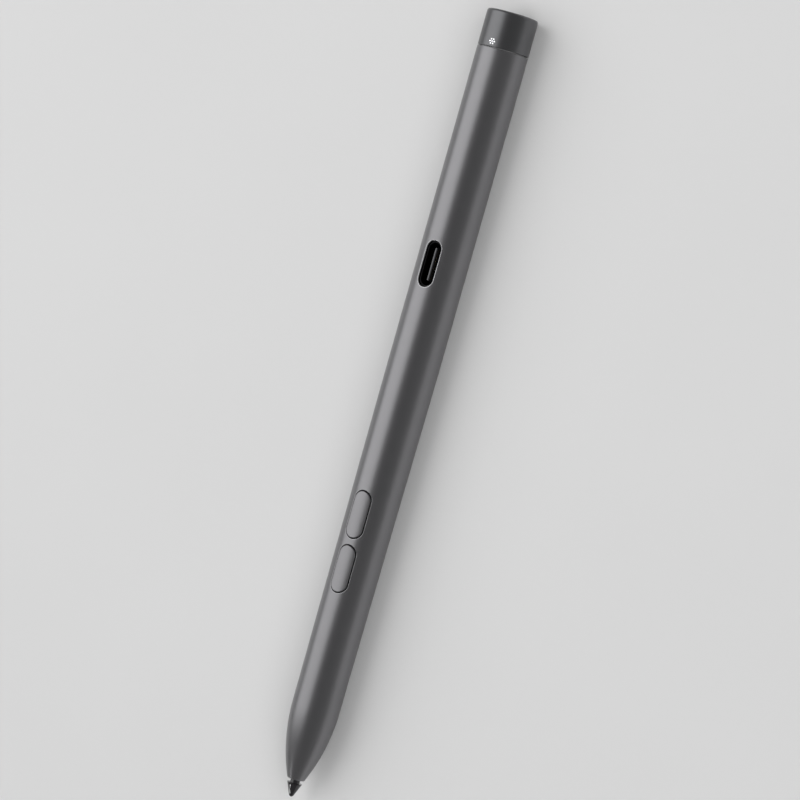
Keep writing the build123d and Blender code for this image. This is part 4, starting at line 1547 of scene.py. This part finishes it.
@dataclass
class PortTongue:
    """The port's tongue with a rounded tip, standing on its base plate."""

    length: float = 6.69
    thickness: float = 0.7
    tip: float = 8.3
    round_tip: float = 0.33
    tip_steps: int = 6
    base_top: float = 2.95
    base_foot: float = 2.45
    base: Spot = (8.3, 2.52)
    corner: float = 0.12
    corner_share: float = 0.9
    corner_steps: int = 6
    crease: float = 40.0

    def outline(self, inset: float) -> list[Spot]:
        """The tongue's section from above, with a little radius at its corners.

        Args:
            inset: How far inside the tongue's faces.

        Returns:
            The section's (s, y) spots.
        """
        half = (self.length / 2 - inset, self.thickness / 2 - inset)
        soft = min(self.corner, half[1] * self.corner_share)
        spots = []
        for quarter, (along, across) in enumerate(((1, -1), (1, 1), (-1, 1), (-1, -1))):
            for i in range(self.corner_steps + 1):
                turn = math.pi / 2 * (quarter - 1 + i / self.corner_steps)
                s = along * (half[0] - soft) + soft * math.cos(turn)
                spots.append((PORT_MIDDLE + s, across * (half[1] - soft) + soft * math.sin(turn)))
        return spots

    def build(self) -> bpy.types.Object:
        """Builds the tongue and its base as one closed shell.

        Returns:
            The tongue.
        """
        mesh = PieceMesh()
        count = len(self.outline(0.0))
        rings = []
        for i in range(self.tip_steps + 1):
            bend = math.pi / 2 * (1 - i / self.tip_steps)
            inset, drop = self.round_tip * (1 - math.cos(bend)), self.round_tip * (1 - math.sin(bend))
            rings.append(mesh.ring([(s, y, self.tip - drop) for s, y in self.outline(inset)]))
        # The rounded tip takes the lighter painted-highlight metal; the rest of the tongue stays black.
        mesh.bands(rings, Zone.RIM)
        mesh.cap(rings[0], Zone.RIM)
        foot = mesh.ring([(s, y, self.base_top) for s, y in self.outline(0.0)])
        plate = [mesh.ring(self._plate(z, count)) for z in (self.base_top, self.base_foot)]
        mesh.bands([rings[-1], foot, *plate], Zone.SKIN)
        mesh.cap(plate[-1], Zone.SKIN)
        return mesh.piece("port_tongue", [BLACK_POLYMER, TONGUE_TIP_HIGHLIGHT], self.crease)

    def _plate(self, z: float, count: int) -> list[Place]:
        """The base plate's outline, in step with the tongue's corners.

        Args:
            z: Its height.
            count: How many points it has.

        Returns:
            The outline's points.
        """
        reach, radius = (self.base[0] - self.base[1]) / 2, self.base[1] / 2
        places = []
        for i in range(count):
            turn = TURN * (i / count) - math.pi / 2
            s = math.copysign(reach, math.cos(turn)) + radius * math.cos(turn)
            places.append((PORT_MIDDLE + s, radius * math.sin(turn), z))
        return places


class Pattern:
    """A Geometry Nodes tree with named sizes, whose result becomes a plain mesh."""

    def __init__(self, name: str, sizes: dict[str, float | int]) -> None:
        """Starts a tree.

        Args:
            name: The piece's name.
            sizes: The tree's named inputs and their values; whole numbers are counts.
        """
        self.name = name
        self.sizes = sizes
        self.group = bpy.data.node_groups.new(name, "GeometryNodeTree")
        self.group.interface.new_socket("Places", in_out="INPUT", socket_type="NodeSocketGeometry")
        for key, value in sizes.items():
            kind = "NodeSocketInt" if isinstance(value, int) else "NodeSocketFloat"
            self.group.interface.new_socket(key, in_out="INPUT", socket_type=kind)
        self.group.interface.new_socket("Piece", in_out="OUTPUT", socket_type="NodeSocketGeometry")
        self.tree = Tree(self.group)

    def size(self, key: str) -> Flow:
        """One of the named inputs, or the places that the piece repeats at."""
        return self.tree.add("NodeGroupInput", output=key)

    def vector(self, x: Value = 0.0, y: Value = 0.0, z: Value = 0.0) -> Flow:
        """A vector of three values."""
        return self.tree.add("ShaderNodeCombineXYZ", None, {0: x, 1: y, 2: z})

    def bar(self, length: Value, width: Value, height: Value, edge: Value) -> Flow:
        """A bar along Z with rounded long edges, standing on its foot.

        Args:
            length: Its size along X.
            width: Its size along Y.
            height: Its size along Z.
            edge: The radius of its edges.

        Returns:
            The bar's mesh.
        """
        frame_inputs = {"Width": length, "Height": width}
        flat = self.tree.add("GeometryNodeCurvePrimitiveQuadrilateral", None, frame_inputs)
        soft_inputs = {"Curve": flat, "Radius": edge, "Count": EDGE_STEPS}
        soft = self.tree.add("GeometryNodeFilletCurve", {"mode": "POLY"}, soft_inputs)
        line = self.tree.add(
            "GeometryNodeCurvePrimitiveLine", None, {"Start": self.vector(), "End": self.vector(z=height)}
        )
        inputs = {"Curve": line, "Profile Curve": soft, "Fill Caps": True}
        return self.tree.add("GeometryNodeCurveToMesh", None, inputs)

    def rod(self, radius: str, height: Flow) -> Flow:
        """A round rod along Z, standing on its foot.

        Args:
            radius: The name of its radius among the sizes.
            height: Its height.

        Returns:
            The rod's mesh.
        """
        inputs = {"Vertices": ROD_SIDES, "Radius": self.size(radius), "Depth": height}
        round_rod = self.tree.add("GeometryNodeMeshCylinder", None, inputs)
        return self.moved(round_rod, self.vector(z=height * 0.5))

    def moved(self, shape: Flow, shift: Value) -> Flow:
        """A shape moved by a vector."""
        return self.tree.add("GeometryNodeTransform", None, {"Geometry": shape, "Translation": shift})

    def dressed(self, shape: Flow, finish: Finish) -> Flow:
        """A shape in a finish."""
        inputs = {"Geometry": shape, "Material": finish.material()}
        return self.tree.add("GeometryNodeSetMaterial", None, inputs)

    def joined(self, *shapes: Flow) -> Flow:
        """Several shapes as one.

        Args:
            shapes: The shapes.

        Returns:
            The joined shape.
        """
        joint = self.tree.add("GeometryNodeJoinGeometry")
        for shape in shapes:
            self.tree.tree.links.new(shape.socket, joint.socket.node.inputs[0])
        return joint

    def repeated(self, shape: Flow) -> Flow:
        """A shape at each of the places."""
        inputs = {"Points": self.size("Places"), "Instance": shape}
        return self.tree.add("GeometryNodeInstanceOnPoints", None, inputs)

    def piece(
        self,
        shape: Flow,
        finish: Finish,
        places: Sequence[Place],
        keep: Finish | None = None,
        crease: float = 30.0,
    ) -> bpy.types.Object:
        """Ends the tree and turns its result into a plain mesh.

        Args:
            shape: What the tree has made, in metres.
            finish: The piece's finish.
            places: The places that the tree repeats at, in pen millimetres.
            keep: A second finish, which faces that have it keep.
            crease: The angle in degrees past which an edge is drawn sharp.

        Returns:
            The piece's object, with no modifier left.
        """
        solid = self.tree.add("GeometryNodeRealizeInstances", None, {"Geometry": shape})
        inputs = {"Geometry": solid, "Material": finish.material()}
        if keep:
            kept = self.tree.add("GeometryNodeMaterialSelection", None, {"Material": keep.material()})
            inputs["Selection"] = 1 - kept
        self.tree.add("NodeGroupOutput", None, {0: self.tree.add("GeometryNodeSetMaterial", None, inputs)})
        half = PEN_LENGTH / 2
        seed = bpy.data.meshes.new(self.name + "_places")
        seed.from_pydata([((s - half) * MM, y * MM, z * MM) for s, y, z in places], [], [])
        made = linked(self.name, seed)
        modifier = made.modifiers.new(self.name, "NODES")
        modifier.node_group = self.group
        for item in self.group.interface.items_tree:
            if item.in_out == "INPUT" and item.name in self.sizes:
                modifier[item.identifier] = self.sizes[item.name]
        shown = made.evaluated_get(bpy.context.evaluated_depsgraph_get())
        mesh = bpy.data.meshes.new_from_object(shown)
        made.modifiers.clear()
        made.data = mesh
        mesh.shade_smooth()
        mesh.set_sharp_from_angle(angle=math.radians(crease))
        return made


@dataclass
class PortContacts:
    """Two rows of gilt contacts on the port's tongue."""

    pitch: float = 0.5
    count: int = 12
    rows: tuple[float, float] = (-0.375, 0.375)
    foot: float = 4.59
    size: Place = (0.25, 0.05, 3.21)
    edge: float = 0.02

    def build(self) -> bpy.types.Object:
        """Builds the contacts.

        Returns:
            The contacts as one piece.
        """
        length, width, height = (MM * size for size in self.size)
        sizes = {"Length": length, "Width": width, "Height": height, "Edge": MM * self.edge}
        pattern = Pattern("port_contacts", sizes)
        bar = pattern.bar(*(pattern.size(key) for key in sizes))
        first = PORT_MIDDLE - self.pitch * (self.count - 1) / 2
        middles = [first + self.pitch * i for i in range(self.count)]
        places = [(s, y, self.foot) for y in self.rows for s in middles]
        return pattern.piece(pattern.repeated(bar), GILT, places)


@dataclass
class BoardScrews:
    """The five small slotted screws."""

    seats: tuple[tuple[float, float], ...] = (
        (37.9, 6.0),
        (60.17, 6.0),
        (116.39, 2.45),
        (134.8, 2.45),
        (140.9, 2.45),
    )
    head: Spot = (0.9, 0.4)
    shank: Spot = (0.5, 1.2)
    slot: Spot = (0.25, 0.2)
    slot_reach: float = 3.0

    def build(self) -> bpy.types.Object:
        """Builds the screws.

        Returns:
            The screws as one piece.
        """
        sizes = {
            "Head Radius": MM * self.head[0],
            "Head Height": MM * self.head[1],
            "Shank Radius": MM * self.shank[0],
            "Shank Length": MM * self.shank[1],
            "Slot Width": MM * self.slot[0],
            "Slot Depth": MM * self.slot[1],
        }
        pattern = Pattern("slotted_screws", sizes)
        head = pattern.rod("Head Radius", pattern.size("Head Height"))
        length = pattern.size("Shank Length") + pattern.size("Slot Depth") * 0.5
        shank = pattern.rod("Shank Radius", length)
        shank = pattern.moved(shank, pattern.vector(z=pattern.size("Shank Length") * -1.0))
        reach, depth = pattern.size("Head Radius") * self.slot_reach, pattern.size("Slot Depth") * 2.0
        block_size = pattern.vector(reach, pattern.size("Slot Width"), depth)
        block = pattern.tree.add("GeometryNodeMeshCube", None, {"Size": block_size})
        block = pattern.moved(block, pattern.vector(z=pattern.size("Head Height")))
        rods = {1: pattern.joined(head, shank)}
        whole = pattern.tree.add("GeometryNodeMeshBoolean", {"operation": "UNION"}, rods)
        cut = pattern.tree.add("GeometryNodeMeshBoolean", {"operation": "DIFFERENCE"}, {0: whole, 1: block})
        places = [(s, 0.0, seat) for s, seat in self.seats]
        return pattern.piece(pattern.repeated(cut), BRIGHT_STEEL, places)


@dataclass
class ChipParts:
    """A grid of small ceramic chip parts with tinned ends."""

    name: str
    middle: Spot
    seat: float
    columns: int
    row_gap: float
    pitch: float = 1.4
    size: Place = (0.5, 1.0, 0.45)
    end: float = 0.2
    play: float = 0.02
    edge: float = 0.04

    def build(self) -> bpy.types.Object:
        """Builds the chip parts.

        Returns:
            The parts as one piece.
        """
        length, width, height = self.size
        body_size = (length - 2 * self.play, width - 2 * self.end + self.play, height - self.play)
        sizes = {
            "Length": MM * body_size[0],
            "Width": MM * body_size[1],
            "Height": MM * body_size[2],
            "End Length": MM * length,
            "End Width": MM * self.end,
            "End Height": MM * height,
            "Edge": MM * self.edge,
        }
        pattern = Pattern(self.name, sizes)
        edge = pattern.size("Edge")
        shapes = [pattern.bar(*(pattern.size(key) for key in ("Length", "Width", "Height")), edge)]
        tin = pattern.bar(*(pattern.size("End " + key) for key in ("Length", "Width", "Height")), edge)
        tin = pattern.dressed(tin, TIN)
        for side in (-1, 1):
            shapes.append(pattern.moved(tin, (0.0, side * MM * (width - self.end) / 2, 0.0)))
        first = self.middle[0] - self.pitch * (self.columns - 1) / 2
        places = [
            (first + self.pitch * i, self.middle[1] + side * self.row_gap / 2, self.seat)
            for i in range(self.columns)
            for side in (-1, 1)
        ]
        return pattern.piece(pattern.repeated(pattern.joined(*shapes)), CERAMIC, places, TIN)


@dataclass
class NibSpring:
    """The return spring of the nib holder, wound round its stem."""

    start: float = 21.25
    end: float = 24.4
    radius: float = 1.35
    wire: float = 0.15
    turns: int = 5
    seat: float = 24.6
    stroke: float = 0.25
    coil_steps: int = 40
    wire_sides: int = 14

    def build(self) -> bpy.types.Object:
        """Builds the spring.

        Returns:
            The spring.
        """
        sizes = {
            "Height": MM * (self.end - self.start),
            "Radius": MM * self.radius,
            "Wire": MM * self.wire,
            "Turns": float(self.turns),
        }
        pattern = Pattern("nib_return_spring", sizes)
        radius = pattern.size("Radius")
        inputs = {
            "Resolution": self.coil_steps,
            "Rotations": pattern.size("Turns"),
            "Start Radius": radius,
            "End Radius": radius,
            "Height": pattern.size("Height"),
        }
        coil = pattern.tree.add("GeometryNodeCurveSpiral", None, inputs)
        wire_inputs = {"Resolution": self.wire_sides, "Radius": pattern.size("Wire")}
        wire = pattern.tree.add("GeometryNodeCurvePrimitiveCircle", None, wire_inputs)
        tube_inputs = {"Curve": coil, "Profile Curve": wire, "Fill Caps": True}
        tube = pattern.tree.add("GeometryNodeCurveToMesh", None, tube_inputs)
        turned = {"Geometry": tube, "Rotation": (0.0, math.pi / 2, 0.0)}
        laid = pattern.tree.add("GeometryNodeTransform", None, turned)
        return pattern.piece(pattern.repeated(laid), BRIGHT_STEEL, [(self.start, 0.0, FORM.axis)])

    def yields(self, spring: bpy.types.Object) -> None:
        """Gives the spring a mesh of its own.

        Args:
            spring: The spring's object.
        """
        length = self.seat - self.start + self.wire
        1 - self.stroke / length
        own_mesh(spring)


@dataclass
class LightGuide:
    """The moulded light guide: a plate inside the tail button and seven pips that end in its skin."""

    plate: Place = (1.8, 1.8, 0.42)
    foot: float = 7.52
    pip_radius: float = 0.13
    pip_foot: float = 7.8
    edge: float = 0.1

    def build(self, dots: Sequence[Spot]) -> bpy.types.Object:
        """Builds the light guide.

        Args:
            dots: The middles of the pips, as (s, y).

        Returns:
            The light guide.
        """
        crown = FORM.tail_centre + FORM.tail_radius
        length, width, height = (MM * size for size in self.plate)
        sizes = {
            "Length": length,
            "Width": width,
            "Height": height,
            "Edge": MM * self.edge,
            "Pip Radius": MM * self.pip_radius,
            "Pip Height": MM * (crown - self.pip_foot),
        }
        pattern = Pattern("light_guide_pips", sizes)
        pips = pattern.repeated(pattern.rod("Pip Radius", pattern.size("Pip Height")))
        plate = pattern.bar(*(pattern.size(key) for key in ("Length", "Width", "Height", "Edge")))
        middle, half = dots[0], PEN_LENGTH / 2
        plate = pattern.moved(plate, (MM * (middle[0] - half), MM * middle[1], MM * self.foot))
        drops = [FORM.tail_radius - math.sqrt(FORM.tail_radius**2 - y**2) for _, y in dots]
        places = [(s, y, self.pip_foot - drop) for (s, y), drop in zip(dots, drops)]
        return pattern.piece(pattern.joined(pips, plate), LIGHT_GUIDE, places)


@dataclass
class SoundGauze:
    """The round woven gauze behind the sound hole."""

    place: Place = (SOUND_MIDDLE, 3.45, FORM.tail_centre)
    radius: float = 0.83
    wire: float = 0.022
    count: int = 15
    rim: float = 0.045
    ring_steps: int = 48
    wire_sides: int = 6
    rim_sides: int = 10

    def build(self) -> bpy.types.Object:
        """Builds the gauze.

        Returns:
            The gauze.
        """
        sizes = {
            "Radius": MM * (self.radius - self.rim),
            "Wire": MM * self.wire,
            "Rim": MM * self.rim,
            "Count": self.count,
        }
        pattern = Pattern("woven_gauze", sizes)
        tree, radius, count = pattern.tree, pattern.size("Radius"), pattern.size("Count")
        grid_inputs = {"Size X": radius * 2, "Size Y": radius * 2, "Vertices X": count, "Vertices Y": count}
        grid = tree.add("GeometryNodeMeshGrid", None, grid_inputs)
        place = tree.add("GeometryNodeInputPosition")
        far = tree.add("ShaderNodeVectorMath", {"operation": "LENGTH"}, {0: place}, "Value") > radius
        outside = {"Geometry": grid, "Selection": far}
        net = tree.add("GeometryNodeDeleteGeometry", {"domain": "POINT"}, outside)
        lines = tree.add("GeometryNodeMeshToCurve", None, {0: net})
        ring_inputs = {"Resolution": self.ring_steps, "Radius": radius}
        ring = tree.add("GeometryNodeCurvePrimitiveCircle", None, ring_inputs)
        shapes = []
        for curve, key, sides in ((lines, "Wire", self.wire_sides), (ring, "Rim", self.rim_sides)):
            profile = {"Resolution": sides, "Radius": pattern.size(key)}
            wire = tree.add("GeometryNodeCurvePrimitiveCircle", None, profile)
            inputs = {"Curve": curve, "Profile Curve": wire, "Fill Caps": True}
            shapes.append(tree.add("GeometryNodeCurveToMesh", None, inputs))
        turned = {"Geometry": pattern.joined(*shapes), "Rotation": (math.pi / 2, 0.0, 0.0)}
        laid = tree.add("GeometryNodeTransform", None, turned)
        return pattern.piece(pattern.repeated(laid), GAUZE, [self.place])


@dataclass(frozen=True)
class PhotoCamera:
    """The camera at the photograph's viewing angle."""

    tilt: float = 30.0
    lean: float = 3.5
    roll: float = 15.83
    distance: float = 0.6
    focal_pixels: float = 3137.0
    target: Place = (0.0, 0.0, 0.0047)
    target_pixel: Spot = (400.9, 408.0)
    sensor: float = 36.0
    clip_start: float = 0.01

    def build(self) -> bpy.types.Object:
        """Places the camera and makes it the scene's.

        Returns:
            The camera.
        """
        tilt, lean, roll = (math.radians(angle) for angle in (self.tilt, self.lean, self.roll))
        across = math.cos(lean)
        view = Vector((math.sin(lean), -across * math.sin(tilt), across * math.cos(tilt)))
        along = Vector((1.0, 0.0, 0.0))
        rise = (along - view * along.dot(view)).normalized()
        side = rise.cross(view)
        up = rise * math.cos(roll) - side * math.sin(roll)
        right = side * math.cos(roll) + rise * math.sin(roll)
        metres = self.distance / self.focal_pixels
        shift = [(pixel - PICTURE_PIXELS / 2) * metres for pixel in self.target_pixel]
        where = Vector(self.target) + view * self.distance - right * shift[0] + up * shift[1]
        data = bpy.data.cameras.new("photo_camera")
        data.sensor_width = self.sensor
        data.lens = self.focal_pixels * self.sensor / PICTURE_PIXELS
        data.clip_start = self.clip_start
        camera = bpy.data.objects.new("photo_camera", data)
        bpy.context.scene.collection.objects.link(camera)
        camera.matrix_world = Matrix.Translation(where) @ Matrix((right, up, view)).transposed().to_4x4()
        bpy.context.scene.camera = camera
        return camera


@dataclass(frozen=True)
class Softbox:
    """A soft rectangular studio light."""

    name: str
    place: Place
    aim: Place
    size: Spot
    power: float
    glossy: bool = True

    def build(self) -> bpy.types.Object:
        """Hangs the light and turns it to its aim.

        Returns:
            The light.
        """
        data = bpy.data.lights.new(self.name, "AREA")
        data.shape = "RECTANGLE"
        data.size, data.size_y = self.size
        data.energy = self.power
        light = bpy.data.objects.new(self.name, data)
        bpy.context.scene.collection.objects.link(light)
        light.location = self.place
        light.rotation_euler = (Vector(self.aim) - Vector(self.place)).to_track_quat("-Z", "Y").to_euler()
        light.visible_camera = False
        light.visible_glossy = self.glossy
        return light


@dataclass(frozen=True)
class Studio:
    """The pale floor, the soft light and the dim surroundings."""

    floor_size: float = 8.0
    floor_drop: float = 5e-5
    softboxes: tuple[Softbox, ...] = (
        Softbox("key_softbox", (0.14, 0.42, 0.5), (0.14, 0.0, 0.0), (0.84, 0.88), 3.2),
        Softbox("nib_light", (-0.467, 0.325, 0.217), (-0.077, 0.0, 0.0047), (0.02, 0.02), 0.08),
        Softbox("floor_fill", (0.0, -0.55, 0.6), (0.0, 0.0, 0.0), (0.9, 0.5), 2.8, False),
        Softbox("ceiling_fill", (0.0, 0.0, 2.0), (0.0, 0.0, 0.0), (6.0, 6.0), 20.0, False),
    )
    sky: tuple[tuple[float, Colour], ...] = (
        (0.5, (0.3, 0.3, 0.3)),
        (0.62, (0.26, 0.26, 0.26)),
        (1.0, (0.2, 0.2, 0.2)),
    )

    def build(self) -> None:
        """Builds the stage, the light and the world."""
        half = self.floor_size / 2
        mesh = bpy.data.meshes.new("floor")
        corners = [(-half, -half), (half, -half), (half, half), (-half, half)]
        mesh.from_pydata([(x, y, -self.floor_drop) for x, y in corners], [], [(0, 1, 2, 3)])
        mesh.materials.append(FLOOR.material())
        linked("floor", mesh)
        for softbox in self.softboxes:
            softbox.build()
        world = bpy.data.worlds.new("studio")
        world.use_nodes = True
        bpy.context.scene.world = world
        tree = Tree(world.node_tree)
        place = tree.add("ShaderNodeTexCoord", output="Generated")
        up = tree.add("ShaderNodeSeparateXYZ", None, {0: place}, "Z") * 0.5 + 0.5
        glow = tree.add("ShaderNodeValToRGB", {"stops": self.sky}, {"Fac": up})
        shade = tree.add("ShaderNodeBackground", None, {"Color": glow, "Strength": 1.0})
        tree.add("ShaderNodeOutputWorld", None, {"Surface": shade})


def dress_nodes() -> None:
    """Gives every node that keeps its own mesh its finish."""
    for name, finish in NODE_FINISHES.items():
        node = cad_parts[name]
        node.data.materials.clear()
        node.data.materials.append(finish.material())
        LOG.info("%s: %s", name, finish.name)


def main() -> None:
    """Builds the pen's pieces, the studio and the camera."""
    logging.basicConfig(level=logging.INFO, format="%(name)s %(message)s")
    bpy.context.scene.view_settings.view_transform = "Standard"
    settle(Barrel().build(), Body.PEN, "barrel_aluminium", "barrel")
    buttons = (
        BarrelButton("lower_button_cap", "lower_button", Body.LOWER_BUTTON, LOWER_BUTTON_MIDDLE),
        BarrelButton("upper_button_cap", "upper_button", Body.UPPER_BUTTON, UPPER_BUTTON_MIDDLE),
    )
    for button in buttons:
        settle(button.build(), button.body, "barrel_aluminium", button.node)
    tail = TailButton()
    settle(tail.build(), Body.TAIL_BUTTON, "tail_shell", "tail_button")
    settle(LightGuide().build(tail.dots()), Body.TAIL_BUTTON, "light_guide", "indicator_lens")
    settle(Nib().build(), Body.NIB, "nib_polymer", "nib")
    settle(NoseBush().build(), Body.PEN, "nib_polymer", "nose_bush")
    settle(PortShell().build(), Body.PEN, "port_shell", "usb_shell")
    settle(PortTongue().build(), Body.PEN, "black_polymer", "usb_tongue")
    settle(PortContacts().build(), Body.PEN, "gilt_contact", "usb_contacts")
    settle(SoundGauze().build(), Body.PEN, "sound_gauze", "sound_mesh")
    settle(BoardScrews().build(), Body.PEN, "bright_steel", "board_screws")
    spring = NibSpring()
    coil = spring.build()
    settle(coil, Body.PEN, "bright_steel", "nib_spring")
    spring.yields(coil)
    front = ChipParts("front_chip_parts", middle=(51.085, 0.0), seat=6.0, columns=4, row_gap=3.4)
    rear = ChipParts("rear_chip_parts", middle=(SOUND_MIDDLE, -1.8), seat=2.45, columns=3, row_gap=1.2)
    settle(front.build(), Body.PEN, "chip_ceramic", "front_components")
    settle(rear.build(), Body.PEN, "chip_ceramic", "rear_components")
    dress_nodes()
    Studio().build()
    PhotoCamera().build()


if __name__ == "__main__":
    main()
